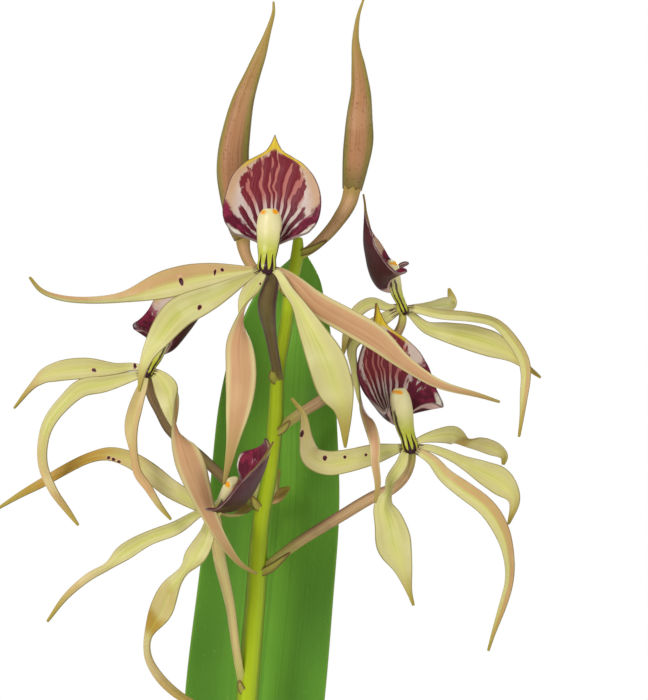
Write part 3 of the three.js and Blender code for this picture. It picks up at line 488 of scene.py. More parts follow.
@dataclass(frozen=True, kw_only=True)
class LipSkin(Finish):
    """The shell lip's satin skin, with maroon stripes that fan out from its foot over pinkish white.

    The eye gets the raised stripes that widen and run together towards the tip, the dark side lobes, the
    white lower margin and the yellow tip. Lengths are millimetres in the flower's own frame, and angles are
    degrees round the foot: the stripes lie a stripe angle apart, wander, crowd less at the sides and fray.
    """

    foot: float = 5.5
    stripe_angle: float = 3.4
    lobe_from: float = 42.0
    peachy: float = 0.9
    white_foot: float = 7.8
    white_reach: float = 2.3
    wander: float = 14.0
    crowding: float = 0.72
    fraying: float = 3.4
    widening: float = 0.055
    ragged: float = 14.0
    longest: float = 31.0
    ground: str = "#C9B8AE"
    shade: str = "#C4A8A4"
    stripe: str = "#5C0E22"
    top: str = "#741A26"
    lobe: str = "#5E1028"
    blush: str = "#A8544A"
    peach: str = "#BE9670"
    yellow: str = "#CFB224"
    white: str = "#EDE6D4"
    glow: str = "#98284A"
    rim: str = "#4A1C28"

    def pattern(self, tree: NodeTree) -> tuple[NodeSocket, NodeSocket]:
        """Draws the stripes, the lobes and the margins."""
        _, inward = read(tree, RUN, "Z")
        own, x, z = read(tree, OWN, "XZ")
        rise = add_node(tree, "Math", {0: z, 1: self.foot}, operation="SUBTRACT")
        turn = add_node(tree, "Math", {0: x, 1: rise}, operation="ARCTAN2")
        turn = add_node(tree, "Math", {0: turn}, operation="DEGREES")
        flat = add_node(tree, "CombineXYZ", {0: x, 1: rise})
        reach = add_node(tree, "VectorMath", {0: flat}, operation="LENGTH")
        wander = add_node(tree, "TexNoise", {"Vector": own, "Scale": 0.16, "Detail": 1.0})
        mottle = add_node(tree, "TexNoise", {"Vector": own, "Scale": 0.55, "Detail": 4.0})
        # The stripes' ends fray with a noise that is stretched along them
        fan = add_node(tree, "CombineXYZ", {0: turn, 1: reach})
        fan = add_node(tree, "VectorMath", {0: fan, 1: (0.24, 0.2, 1.0)}, operation="MULTIPLY")
        fray = add_node(tree, "TexNoise", {"Vector": fan, "Scale": 1.0, "Detail": 4.0})
        wave = add_node(tree, "Math", {0: wander, 1: self.wander, 2: turn}, operation="MULTIPLY_ADD")
        wave = add_node(tree, "Math", {0: wave, 1: self.wander / 2}, operation="SUBTRACT")
        aside = add_node(tree, "Math", {0: wave}, operation="ABSOLUTE")
        aside = add_node(tree, "Math", {0: aside, 1: self.crowding}, operation="POWER")
        wave = add_node(tree, "Math", {0: aside, 1: math.tau / self.stripe_angle}, operation="MULTIPLY")
        wave = add_node(tree, "Math", {0: wave}, operation="COSINE")
        broad = add_node(tree, "Math", {0: fray, 1: self.fraying, 2: wave}, operation="MULTIPLY_ADD")
        broad = add_node(tree, "Math", {0: reach, 1: self.widening, 2: broad}, operation="MULTIPLY_ADD")
        side = add_node(tree, "Math", {0: turn}, operation="ABSOLUTE")
        side = add_node(tree, "Math", {0: mottle, 1: self.ragged, 2: side}, operation="MULTIPLY_ADD")
        side = add_node(tree, "Math", {0: side, 1: self.ragged / 2}, operation="SUBTRACT")
        share = add_node(tree, "Math", {0: side, 1: 90.0}, operation="DIVIDE")
        limit = add_node(
            tree,
            "ValToRGB",
            {0: share},
            stops=(
                (0.0, 0.735), (0.6, 0.9), (0.13, 0.68), (0.19, 0.64), (0.27, 0.57), (0.31, 0.46), (0.37, 0.4),
                (0.47, 0.36), (0.53, 0.5),
            ),
        )
        short = add_node(tree, "Math", {0: reach, 1: -1.0, 2: -1.3}, operation="MULTIPLY_ADD")
        short = add_node(tree, "Math", {0: limit, 1: self.longest, 2: short}, operation="MULTIPLY_ADD")
        short = add_node(tree, "Math", {0: fray, 1: 7.0, 2: short}, operation="MULTIPLY_ADD")
        # Ramps that several layers share: the side lobes, the striped field and the stripes in it
        lobes = (side, self.lobe_from, self.lobe_from + 5.0)
        inside = (short, 0.6, 1.8)
        striped = (broad, 1.85, 2.2)
        layers = [
            (self.shade, 0.7, (mottle, 0.45, 0.7)),
            (self.blush, 0.9, (reach, 9.5, 14.5), (side, 34.0, 24.0), inside),
            (self.peach, self.peachy, (inward, 4.2, 0.8), (side, 58.0, 40.0), (z, 11.0, 16.0)),
            (self.stripe, 1.0, striped, inside),
            (self.top, 0.9, striped, (reach, 9.0, 15.0), inside),
            (self.lobe, 1.0, lobes, (fray, 0.31, 0.36)),
            (self.glow, 0.6, lobes, (mottle, 0.42, 0.6), (inward, 5.5, 2.0), (fray, 0.31, 0.36)),
            (self.white, 1.0, (side, 58.0, 63.0), (inward, self.white_reach, 0.7 * self.white_reach)),
            (self.white, 1.0, (side, 54.0, 62.0), (z, self.white_foot, self.white_foot - 0.6)),
            (self.yellow, 0.9, (inward, 1.7, 0.8), (z, 24.0, 27.0)),
            (self.yellow, 1.0, (z, 29.0, 30.4)),
            (self.rim, 0.8, (inward, 0.35, 0.12)),
        ]
        return paint(tree, self.ground, layers), broad


@dataclass(frozen=True, kw_only=True)
class LipBack(Finish):
    """The outside of the shell lip: dull dark maroon with fine veins, paler above, and a pinkish margin."""

    ground: str = "#4A1822"
    middle: str = "#3C121C"
    above: str = "#5E262C"
    margin: str = "#D6B2AC"
    tip: str = "#A9A034"
    rim: str = "#3A161C"

    def pattern(self, tree: NodeTree) -> tuple[NodeSocket, NodeSocket]:
        """Draws the veins and the margins."""
        run, inward = read(tree, RUN, "Z")
        own, z = read(tree, OWN, "Z")
        veins = add_node(tree, "VectorMath", {0: run, 1: (14.0, 1.2, 0.0)}, operation="MULTIPLY")
        veins = add_node(tree, "TexNoise", {"Vector": veins, "Scale": 1.0, "Detail": 3.0})
        mottle = add_node(tree, "TexNoise", {"Vector": own, "Scale": 0.3, "Detail": 3.0})
        edge = add_node(tree, "Math", {0: mottle, 1: 1.2, 2: inward}, operation="MULTIPLY_ADD")
        layers = (
            (self.above, 0.85, (z, 16.0, 25.0), (mottle, 0.35, 0.6)),
            (self.middle, 0.6, (veins, 0.45, 0.6)),
            (self.margin, 0.85, (edge, 2.0, 1.5), (z, 12.0, 8.0)),
            (self.margin, 0.85, (z, 7.6, 6.6)),
            (self.margin, 0.6, (edge, 1.1, 0.8)),
            (self.tip, 0.9, (z, 28.0, 31.0)),
            (self.rim, 0.7, (inward, 0.3, 0.1)),
        )
        return paint(tree, self.ground, layers), veins


@dataclass(frozen=True, kw_only=True)
class ColumnWax(Finish):
    """The column's waxy skin: cream above and lime at the foot, with dark teeth, dashes and orange spots."""

    ground: str = "#DED4A0"
    lime: str = "#B2B636"
    pale: str = "#D5D07A"
    dark: str = "#34101A"
    orange: str = "#F0A012"

    def pattern(self, tree: NodeTree) -> tuple[NodeSocket, NodeSocket]:
        """Draws the teeth round the foot, the dashes at the sides and the two spots near the top."""
        _, sine, cosine = read(tree, RUN, "XZ")
        own, x, z = read(tree, OWN, "XZ")
        turn = add_node(tree, "Math", {0: sine, 1: cosine}, operation="ARCTAN2")
        away = add_node(tree, "Math", {0: turn}, operation="ABSOLUTE")
        ripple = add_node(tree, "Math", {0: turn, 1: 9.0}, operation="MULTIPLY")
        ripple = add_node(tree, "Math", {0: ripple}, operation="COSINE")
        sharp = add_node(tree, "Math", {0: ripple, 1: 0.5, 2: 0.5}, operation="MULTIPLY_ADD")
        sharp = add_node(tree, "Math", {0: sharp, 1: 2.0}, operation="POWER")
        breaks = add_node(tree, "TexNoise", {"Vector": own, "Scale": 0.8, "Detail": 2.0})
        teeth = add_node(tree, "Math", {0: sharp, 1: 4.0, 2: -0.9}, operation="MULTIPLY_ADD")
        teeth = add_node(tree, "Math", {0: teeth, 1: z}, operation="SUBTRACT")
        dashes = add_node(tree, "Math", {0: breaks, 1: 3.4, 2: ripple}, operation="MULTIPLY_ADD")
        mirrored = add_node(tree, "Math", {0: x}, operation="ABSOLUTE")
        flat = add_node(tree, "CombineXYZ", {0: mirrored, 1: z})
        near = add_node(tree, "VectorMath", {0: flat, 1: (1.5, 12.9, 0.0)}, operation="DISTANCE")
        near = add_node(tree, "Math", {0: breaks, 1: 1.6, 2: near}, operation="MULTIPLY_ADD")
        layers = (
            (self.lime, 1.0, (z, 10.0, 2.5)),
            (self.pale, 0.3, (breaks, 0.5, 0.75)),
            (self.dark, 0.9, (away, 1.0, 1.3), (dashes, 1.7, 1.9), (z, 9.5, 8.0)),
            (self.dark, 1.0, (teeth, -0.1, 0.2)),
            (self.orange, 1.0, (near, 1.6, 1.3)),
        )
        return paint(tree, self.ground, layers), breaks


@dataclass(frozen=True, kw_only=True)
class Terracotta(Finish):
    """Unglazed thrown clay: matt orange brown, with fine throwing rings, grit and a chalky bloom low down."""

    clay: str = "#B26A45"
    dark: str = "#8A4C32"
    chalk: str = "#DCC5AE"
    cloud_mm: float = 36.0
    ring_mm: float = 1.6
    grit_mm: float = 0.7

    def pattern(self, tree: NodeTree) -> tuple[NodeSocket, NodeSocket]:
        """Draws clouds in the clay, the rings, the grit and the bloom."""
        place = add_node(tree, "TexCoord", output="Object")
        height = add_node(tree, "SeparateXYZ", {0: place}, output="Z")
        level = add_node(tree, "CombineXYZ", {2: height})
        clouds, rings, grit = (
            add_node(tree, "TexNoise", {"Vector": where, "Scale": 1 / (size * MM), "Detail": 4.0})
            for where, size in ((place, self.cloud_mm), (level, self.ring_mm), (place, self.grit_mm))
        )
        low = add_node(tree, "MapRange", {0: height, 1: 0.06, 2: 0.0, 3: 0.0, 4: 0.16})
        bloom = add_node(tree, "Math", {0: clouds, 1: low}, operation="ADD")
        layers = (
            (self.dark, 0.55, (clouds, 0.5, 0.3)),
            (self.dark, 0.25, (rings, 0.5, 0.75)),
            (self.dark, 0.35, (grit, 0.6, 0.75)),
            (self.chalk, 0.6, (bloom, 0.6, 0.82)),
        )
        relief = add_node(tree, "Math", {0: rings, 1: grit}, operation="ADD")
        return paint(tree, self.clay, layers), relief


@dataclass(frozen=True, kw_only=True)
class PineBark(Finish):
    """Coarse pine bark: reddish brown corky layers, paler where a chip has split, matt and rough."""

    bark: str = "#6A432B"
    split: str = "#B0804F"
    soot: str = "#2E1C14"
    layer_mm: float = 1.3
    crumb_mm: float = 1.1

    def pattern(self, tree: NodeTree) -> tuple[NodeSocket, NodeSocket]:
        """Draws each chip's own tone, its layers and its crumbs."""
        place = add_node(tree, "TexCoord", output="Object")
        own = read(tree, OWN, "")[0]
        tone = read(tree, RUN, "Z")[1]
        stretch = (0.15, 0.3, 1 / self.layer_mm)
        layered = add_node(tree, "VectorMath", {0: own, 1: stretch}, operation="MULTIPLY")
        layered = add_node(tree, "TexNoise", {"Vector": layered, "Scale": 1.0, "Detail": 4.0})
        crumbs = add_node(
            tree, "TexNoise", {"Vector": place, "Scale": 1 / (self.crumb_mm * MM), "Detail": 4.0}
        )
        layers = (
            (self.split, 0.75, (tone, 0.5, 1.0)),
            (self.split, 0.55, (layered, 0.5, 0.7)),
            (self.soot, 0.7, (layered, 0.48, 0.34)),
            (self.soot, 0.6, (crumbs, 0.5, 0.34)),
        )
        relief = add_node(tree, "Math", {0: layered, 1: crumbs}, operation="ADD")
        return paint(tree, self.bark, layers), relief


@dataclass(frozen=True)
class Tepal:
    """A petal or sepal: its run from the flower's centre in millimetres, the way it faces, and its tints.

    The blush is given at the foot, the middle and the tip, on both sides of the middle or on one of them.
    An ochre patch is given by its share along and its half length.
    """

    run: tuple[Station, ...]
    facing: Station = FRONT
    blush: tuple[float, float, float] = (0.0, 0.0, 0.1)
    side: int = 0
    ochre: tuple[float, float] = (2.0, 0.1)

    def tint(self, u: float, share: float) -> Station:
        """The blush and the ochre at a point, for its shares across and along."""
        foot, middle, tip = self.blush
        half = 2 * share
        amount = foot + (middle - foot) * half if half < 1 else middle + (tip - middle) * (half - 1)
        if self.side:
            amount *= smooth(-0.5, 0.3, u * self.side)
        return amount, smooth(self.ochre[1], 0.4 * self.ochre[1], abs(share - self.ochre[0])), 0.0


@dataclass(frozen=True)
class Lip:
    """The form that every shell lip has, in millimetres in the flower's own frame."""

    run: tuple[Station, ...] = (
        (0, 0.8, 5.2, 1.6), (0, 2.7, 6.1, 5), (0, 4, 7.7, 14.6), (0, 4.4, 10.4, 19.8),
        (0, 4.4, 13.6, 22.6), (0, 4, 17, 23), (0, 3.4, 20.6, 21.8), (0, 2.6, 23.8, 19),
        (0, 1.8, 26.8, 13.2), (0, 1.1, 29.4, 5), (0, 0.6, 31.6, 2), (0, 0.2, 34, 0.2),
    )
    cups: tuple[float, ...] = (0.3, 0.6, 0.56, 0.4, 0.28, 0.2, 0.17, 0.17, 0.15, 0.1, 0.08, 0.05)
    depth: float = 1.0
    low: float = 1.0
    droop: float = 0.0
    slim: float = 0.0
    sag: float = 0.0
    lift: float = 0.0
    tip: float = 0.0
    veins: int = 26
    vein_height: float = 0.1
    ripple: float = 3.2
    scallop_depth: float = 0.03
    ruffle: float = 0.7
    thickness: float = 0.45
    across: int = 56
    rows: int = 72

    def stations(self) -> list[Station]:
        """The run, bowed to the back by the sag, raised by the lift, and slimmer and longer at its tip."""
        return [
            (
                x,
                y + self.sag * smooth(5, 12, z) * smooth(32, 20, z),
                z + self.lift * smooth(3, 7, z) + self.tip * smooth(26, 34, z),
                width * (1 - self.slim * smooth(18, 26, z)),
            )
            for x, y, z, width in self.run
        ]

    def shape(self, u: float, share: float, width: float) -> tuple[float, float]:
        """The point's way to the side and to the front, for its shares across and along."""
        cup = self.depth * spline([Vector((c, 0.0)) for c in self.cups], share, even=True).x
        cup *= self.low + (1 - self.low) * smooth(0.15, 0.35, share)
        edge = smooth(0.55, 1.0, abs(u)) * smooth(2.0, 12.0, width)
        wave = noise.noise(Vector((self.ripple * 2 * share, 4.2 if u > 0 else 9.7, 0.8)))
        vein = math.cos(math.pi * self.veins * u) * self.vein_height * smooth(4.0, 12.0, width)
        sideways = u * width / 2 * (1 + self.scallop_depth * wave * edge)
        return sideways, cup * width * u * u + self.ruffle * wave * edge * edge + vein * (1 - edge)


@dataclass(frozen=True)
class Column:
    """The waxy club in front of each lip, with a hooded top of three small lobes."""

    run: tuple[Station, ...] = (
        (0, -0.5, -1.9, 2.2), (0, -0.6, -0.3, 4.5), (0, -0.4, 2, 4.2), (0, -0.1, 4.6, 4.9),
        (0, -0.3, 7.4, 5.6), (0, -0.7, 10.6, 5.8), (0, -1.1, 12.6, 5), (0, -1.5, 14, 2.9),
    )
    depth: float = 0.7
    lobes: float = 0.09
    groove: float = 0.12
    sides: int = 40
    rows: int = 40

    def shape(self, angle: float, share: float, width: float) -> tuple[float, float]:
        """The point's way to the side and to the front, for its angle and its share along."""
        swell = 1 + self.lobes * math.cos(3 * angle) * smooth(0.6, 0.9, share)
        groove = 1 - self.groove * smooth(0.75, 0.2, share) * smooth(0.5, 1.0, math.cos(angle))
        return math.sin(angle) * width / 2 * swell, math.cos(angle) * width / 2 * self.depth * swell * groove


@dataclass(frozen=True)
class Bloom:
    """An open flower: five long petals and sepals, the shell lip, the column, and the stalk behind them."""

    name: str
    centre: Station
    up: Station
    facing: Station
    size: float
    pedicel: tuple[Station, ...]
    tepals: tuple[Tepal, ...]
    stalk: PlantSkin
    spots: tuple[Station, ...] = ()
    thickness: float = 0.45
    hub_radius: float = 1.5
    cup: float = 0.12
    groove: float = 0.05
    wave: float = 0.09
    scallop: float = 0.05
    across: int = 8
    rows_per_station: int = 4
    lip: Lip = field(default_factory=Lip)
    lip_skin: LipSkin | None = None
    column: Column = field(default_factory=Column)

    def frame(self) -> Matrix:
        """The flower's own frame in the plant: x to the right of its face, y to its back and z up it."""
        z = Vector(self.up).normalized()
        front = Vector(self.facing)
        y = -(front - z * front.dot(z)).normalized()
        turned = Matrix((y.cross(z), y, z)).transposed().to_4x4()
        return Matrix.Translation(self.centre) @ turned @ Matrix.Scale(self.size, 4)

    def petal(self, u: float, share: float, width: float) -> tuple[float, float]:
        """The point's way to the side and to the front: cupped, with a groove and slightly waved edges."""
        groove = self.groove * width * (1 - min(abs(u) / 0.3, 1.0)) ** 2
        wave = noise.noise(Vector((7 * share, 1.7 * u, width * 0.3))) * self.wave * width
        wave *= smooth(0.4, 1.0, abs(u))
        margin = 1 + self.scallop * noise.noise(Vector((11 * share, 3.1 if u > 0 else 8.4, 0.5)))
        return u * width / 2 * margin, self.cup * width * u * u - groove + wave

    def build_tepals(self, inside: Material, outside: Material, stalk: Material) -> None:
        """Builds the petals and sepals, with the hub that they grow from."""
        mesh = start_mesh()
        along, own = (mesh.verts.layers.float_vector[name] for name in (RUN, OWN))
        for i, tepal in enumerate(self.tepals):
            run = Run(tepal.run, tepal.facing, self.centre)
            rows = self.rows_per_station * (len(tepal.run) - 1)
            for vert in add_blade(mesh, run, self.across, rows, self.petal, seed=3.1 * i):
                vert[own] = tepal.tint(vert[along].x, vert[along].y)
        petals = make_piece(f"{self.name}_tepals_visual", mesh, inside, outside)
        thicken(petals, self.thickness)
        round_off(petals)
        hand_over(petals, f"{self.name}_tepals")
        mesh = start_mesh()
        at = Matrix.Translation(self.centre)
        bmesh.ops.create_uvsphere(mesh, u_segments=16, v_segments=8, radius=self.hub_radius, matrix=at)
        hand_over(make_piece(f"{self.name}_hub", mesh, stalk), f"{self.name}_tepals")

    def build_lip(self, front: Material, back: Material) -> None:
        """Builds the shell lip, with its veins, its ruffled margin and its small point."""
        mesh = start_mesh()
        lip = self.lip
        run = Run(lip.stations())
        verts = add_blade(mesh, run, lip.across, lip.rows, lip.shape)
        layer = mesh.verts.layers.float_vector[RUN]
        for vert in verts:
            u, share, _ = vert[layer]
            width = run.place(share).width
            vert[layer] = (u, share, (1 - abs(u)) * width / 2)
            vert.co.z -= lip.droop * width * u * u * smooth(0.5, 0.15, share)
        keep_own_place(mesh, verts)
        bmesh.ops.transform(mesh, matrix=self.frame(), verts=verts)
        piece = make_piece(f"{self.name}_lip_visual", mesh, front, back)
        thicken(piece, lip.thickness)
        round_off(piece)
        hand_over(piece, f"{self.name}_lip")

    def build_column(self, wax: Material) -> None:
        """Builds the column with its hood."""
        mesh = start_mesh()
        column = self.column
        verts = add_stalk(mesh, Run(column.run), column.sides, column.rows, column.shape)
        keep_own_place(mesh, verts)
        bmesh.ops.transform(mesh, matrix=self.frame(), verts=mesh.verts)
        piece = make_piece(f"{self.name}_column_visual", mesh, wax)
        round_off(piece)
        hand_over(piece, f"{self.name}_column")

    def build_pedicel(self, skin: Material) -> None:
        """Builds the ribbed stalk and ovary."""
        run = ((*self.centre, self.hub_radius), *self.pedicel)
        build_stalk(f"{self.name}_pedicel", run, skin, ribs=6, rib_depth=0.05)

    def build(self, outside: Material, lip_front: Material, lip_back: Material, wax: Material) -> None:
        """Builds the whole flower; its petals' spots and its stalk are its own."""
        stalk = self.stalk.build()
        self.build_tepals(replace(INSIDE, spots=self.spots).build(), outside, stalk)
        self.build_lip(self.lip_skin.build() if self.lip_skin else lip_front, lip_back)
        self.build_column(wax)
        self.build_pedicel(stalk)


def build_stalk(
    node: str,
    stations: Sequence[Station],
    skin: Material,
    ribs: int = 0,
    rib_depth: float = 0.0,
    depth: float = 1.0,
    twist: float = 0.0,
    bumps: float = 0.03,
    sides: int = 32,
    rows_per_station: int = 6,
) -> None:
    """Builds a round stalk, stem or bud in place of its node.

    Args:
        node: The CAD node that it stands for.
        stations: Its run in millimetres.
        skin: Its material.
        ribs: How many ribs run along it.
        rib_depth: How high they are, as a share of the radius.
        depth: Its size towards the face as a share of its width.
        twist: How far the ribs turn from end to end, in radians.
        bumps: How uneven its radius is, as a share of it.
        sides: How many faces it has round it.
        rows_per_station: How many faces it has from station to station.
    """

    def shape(angle: float, share: float, width: float) -> tuple[float, float]:
        """The point's way to the side and to the front."""
        rib = rib_depth * math.cos(ribs * (angle + twist * share))
        spot = Vector((2 * math.sin(angle), 2 * math.cos(angle), 9 * share + stations[0][2]))
        bump = bumps * noise.noise(spot)
        radius = width / 2 * (1 + rib + bump)
        return math.sin(angle) * radius, math.cos(angle) * radius * depth

    mesh = start_mesh()
    rows = rows_per_station * (len(stations) - 1)
    add_stalk(mesh, Run(stations), sides, rows, shape, seed=0.01 * stations[0][2])
    hand_over(make_piece(f"{node}_visual", mesh, skin), node)


@dataclass(frozen=True)
class Bud:
    """A long closed bud with three sepal seams and a curved point, on a stalk of its own."""

    name: str
    run: tuple[Station, ...]
    pedicel: tuple[Station, ...]
    depth: float = 0.9
    seam_depth: float = 0.06
    twist: float = 1.1

    def build(self, skin: Material, stalk_skin: Material) -> None:
        """Builds the bud and its stalk."""
        build_stalk(
            self.name,
            self.run,
            skin,
            ribs=3,
            rib_depth=self.seam_depth,
            depth=self.depth,
            twist=self.twist,
            sides=48,
        )
        node = f"{self.name}_pedicel"
        build_stalk(node, self.pedicel, stalk_skin, ribs=6, rib_depth=0.05)


@dataclass(frozen=True)
class Stem:
    """The flowering stem, slightly zigzag, with its small bracts and the dry sheath at its foot."""

    run: tuple[Station, ...] = (
        (-3.5, 0.5, 178.9, 6), (-2.6, 0.5, 205, 6), (-0.6, 0, 240, 5.8), (1.3, 0, 270, 5.4),
        (2.8, 0, 291.5, 5.2), (4.8, 0, 315, 4.7), (6.1, 0, 333.8, 4.1), (8.2, 0, 344.8, 3.6),
        (9.4, 0, 357, 3.7), (10, 0, 368, 3.2), (11.8, 0, 378.5, 3.1), (13, 0, 388, 3.1),
        (14.6, 0, 396, 3), (14.8, 0, 400.2, 2.2),
    )
    bracts: tuple[tuple[Station, ...], ...] = (
        ((3, -1, 292.5, 1.4), (1.6, -2.2, 294.4, 1.8), (1, -2.4, 296.4, 0.5)),
        ((5, -1.2, 321, 1.5), (8.4, -2, 322.6, 1.9), (13, -2.4, 326.4, 0.4)),
        ((6.4, -1, 336, 1.4), (5, -2, 337.6, 1.9), (4, -2.2, 339.6, 0.5)),
        ((9.2, -1, 354, 1.4), (11.2, -1.6, 355.2, 1.8), (13, -1.8, 357.2, 0.5)),
        ((10, -1, 366.2, 1.6), (9, -2.3, 367.4, 2.2), (8.8, -2.6, 369.4, 0.5)),
        ((13, -0.8, 386.6, 1.3), (11.6, -1.5, 387.4, 1.7), (10.6, -1.7, 388.9, 0.5)),
        ((15, -0.8, 396.4, 1.5), (18.2, -1.5, 397.4, 1.6), (21.6, -1.9, 399.4, 0.4)),
    )
    sheath: tuple[Station, ...] = (
        (-7.9, 0.8, 178.9, 4), (-7.8, 0.6, 190, 6.4), (-6.8, 0.4, 205, 7), (-5.4, 0, 220, 4),
        (-5, -0.4, 228, 0.9),
    )
    sheath_thickness: float = 0.4
    bract_thickness: float = 0.5
    bract_cup: float = 0.2

    def build(self, green: Material, bract: Material, papery: Material) -> None:
        """Builds the stem, the bracts and the sheath."""
        build_stalk("scape", self.run, green, ribs=8, rib_depth=0.012, sides=40)

        def bract_shape(u: float, share: float, width: float) -> tuple[float, float]:
            """The point's way to the side and to the front."""
            return u * width / 2, self.bract_cup * width * u * u

        mesh = start_mesh()
        for i, stations in enumerate(self.bracts):
            add_blade(mesh, Run(stations), 6, 14, bract_shape, seed=float(i))
        piece = make_piece("scape_bracts", mesh, bract)
        thicken(piece, self.bract_thickness, back=False)
        round_off(piece)
        hand_over(piece, "scape")

        def sheath_shape(u: float, share: float, width: float) -> tuple[float, float]:
            """The point's way to the side and to the front."""
            crease = 0.25 * noise.noise(Vector((3 * u, 5 * share, 2.0)))
            return u * width / 2 * (1 + 0.3 * crease), (0.2 * width * u * u + crease) * (1 - 0.5 * share)

        mesh = start_mesh()
        add_blade(mesh, Run(self.sheath, RIGHT), 12, 60, sheath_shape)
        piece = make_piece("scape_sheath_visual", mesh, papery)
        thicken(piece, self.sheath_thickness, back=False)
        round_off(piece)
        hand_over(piece, "scape_sheath")


@dataclass(frozen=True)
class Bulb:
    """A flattened spindle with ribs: its foot, its top and its greatest width in millimetres."""

    foot: Station
    top: Station
    width: float
    age: float = 0.0
    profile: tuple[tuple[float, float], ...] = (
        (0, 0.3), (0.08, 0.5), (0.22, 0.82), (0.4, 1), (0.58, 0.94), (0.75, 0.72), (0.9, 0.48), (1, 0.38)
    )
    depth: float = 0.62
    ribs: int = 9
    rib_depth: float = 0.012
    wear: float = 0.02
    base_height: float = 89.0
    sheath_height: float = 0.34
    sheath_turn: float = 3.0
    sheath_thickness: float = 0.25

    def stations(self) -> list[Station]:
        """The bulb's run."""
        base, tip = Vector((*self.foot, self.base_height)), Vector(self.top)
        return [(*base.lerp(tip, share), self.width * girth) for share, girth in self.profile]

    def shape(self, angle: float, share: float, width: float) -> tuple[float, float]:
        """The point's way to the side and to the front: ribbed, more so with age."""
        ribs = math.cos(self.ribs * angle + 1.5 * noise.noise(Vector((angle, 2 * share, self.width))))
        worn = noise.noise(Vector((2 * math.sin(angle), 2 * math.cos(angle), 5 * share + self.width)))
        rib = self.rib_depth * (1 + 2 * self.age) * (ribs - 0.6)
        radius = width / 2 * (1 + rib + self.wear * worn)
        return math.sin(angle) * radius, math.cos(angle) * radius * self.depth

    def build(self, node: str, green: Material, papery: Material) -> None:
        """Builds the bulb and the torn papery sheath round its foot."""
        mesh = start_mesh()
        add_stalk(mesh, Run(self.stations()), 72, 64, self.shape, seed=self.width)
        hand_over(make_piece(f"{node}_visual", mesh, green), node)

        def wrap(u: float, share: float, width: float) -> tuple[float, float]:
            """The point's way to the side and to the front, on the bulb's own skin."""
            angle = self.sheath_turn * u
            side, front = self.shape(angle, share, width)
            lift = 1.025 + 0.03 * abs(noise.noise(Vector((4 * u, 9 * share, self.width))))
            return side * lift, front * lift

        mesh = start_mesh()
        verts = add_blade(mesh, Run(self.stations()), 64, 60, wrap, seed=self.width)
        layer = mesh.verts.layers.float_vector[RUN]
        torn = [
            v
            for v in verts
            if v[layer].y > self.sheath_height + 0.09 * noise.noise(Vector((5 * v[layer].x, self.width, 0.5)))
            or v[layer].y < 0.05
        ]
        bmesh.ops.delete(mesh, geom=torn, context="VERTS")
        piece = make_piece(f"{node}_sheath", mesh, papery)
        thicken(piece, self.sheath_thickness, back=False)
        hand_over(piece, node)


@dataclass(frozen=True)
class Leaf:
    """A strap leaf with a folded midrib: its stations, or how it rises, bends over and ends."""

    node: str
    stations: tuple[Station, ...]
    facing: Station = UP
    cup: float = 0.09
    thickness: float = 0.95
    fold: float = 0.07
    rib_height: float = 0.5
    rib_share: float = 0.07
    wave: float = 0.03
    across: int = 20
    rows: int = 84

    @staticmethod
    def arched(
        node: str, top: Station, heading: float, rise: tuple[float, float], length: float, width: float
    ) -> "Leaf":
        """Sets out a leaf that arches from the top of a bulb.

        Args:
            node: The CAD node that it stands for.
            top: The bulb's top.
            heading: The way it leans, in degrees.
            rise: Its slope at its foot and near its tip, in degrees.
            length: Its length.
            width: Its greatest width.

        Returns:
            The leaf.
        """
        form = (0.26, 0.42, 0.78, 0.97, 1, 0.92, 0.66, 0.06)
        turn = math.radians(heading)
        outward = Vector((math.cos(turn), math.sin(turn), 0.0))
        above, aside = 0.9, 3.9
        at = Vector(top) + Vector(UP) * above + outward * aside
        step = length / (len(form) - 1)
        stations = []
        for i, girth in enumerate(form):
            stations.append((*at, width * girth))
            slope = math.radians(rise[0] + (rise[1] - rise[0]) * i / (len(form) - 2))
            at = at + outward * (step * math.cos(slope)) + Vector(UP) * (step * math.sin(slope))
        return Leaf(node, tuple(stations))

    def shape(self, u: float, share: float, width: float) -> tuple[float, float]:
        """The point's way to the side and to the face: cupped, folded along the midrib, slightly waved."""
        fold = self.fold * width * (abs(u) - 0.5)
        rib = self.rib_height * (1 - min(abs(u) / self.rib_share, 1.0)) ** 2
        wave = self.wave * width * noise.noise(Vector((5 * share, 0.8 * u, width))) * smooth(0.1, 1.0, abs(u))
        return u * width / 2, self.cup * width * u * u + fold * smooth(4, 14, width) - rib + wave

    def build(self, face: Material, back: Material) -> None:
        """Builds the leaf."""
        mesh = start_mesh()
        run = Run(self.stations, self.facing)
        add_blade(mesh, run, self.across, self.rows, self.shape, seed=0.1 * self.stations[0][0])
        piece = make_piece(f"{self.node}_visual", mesh, face, back)
        thicken(piece, self.thickness)
        round_off(piece)
        hand_over(piece, self.node)


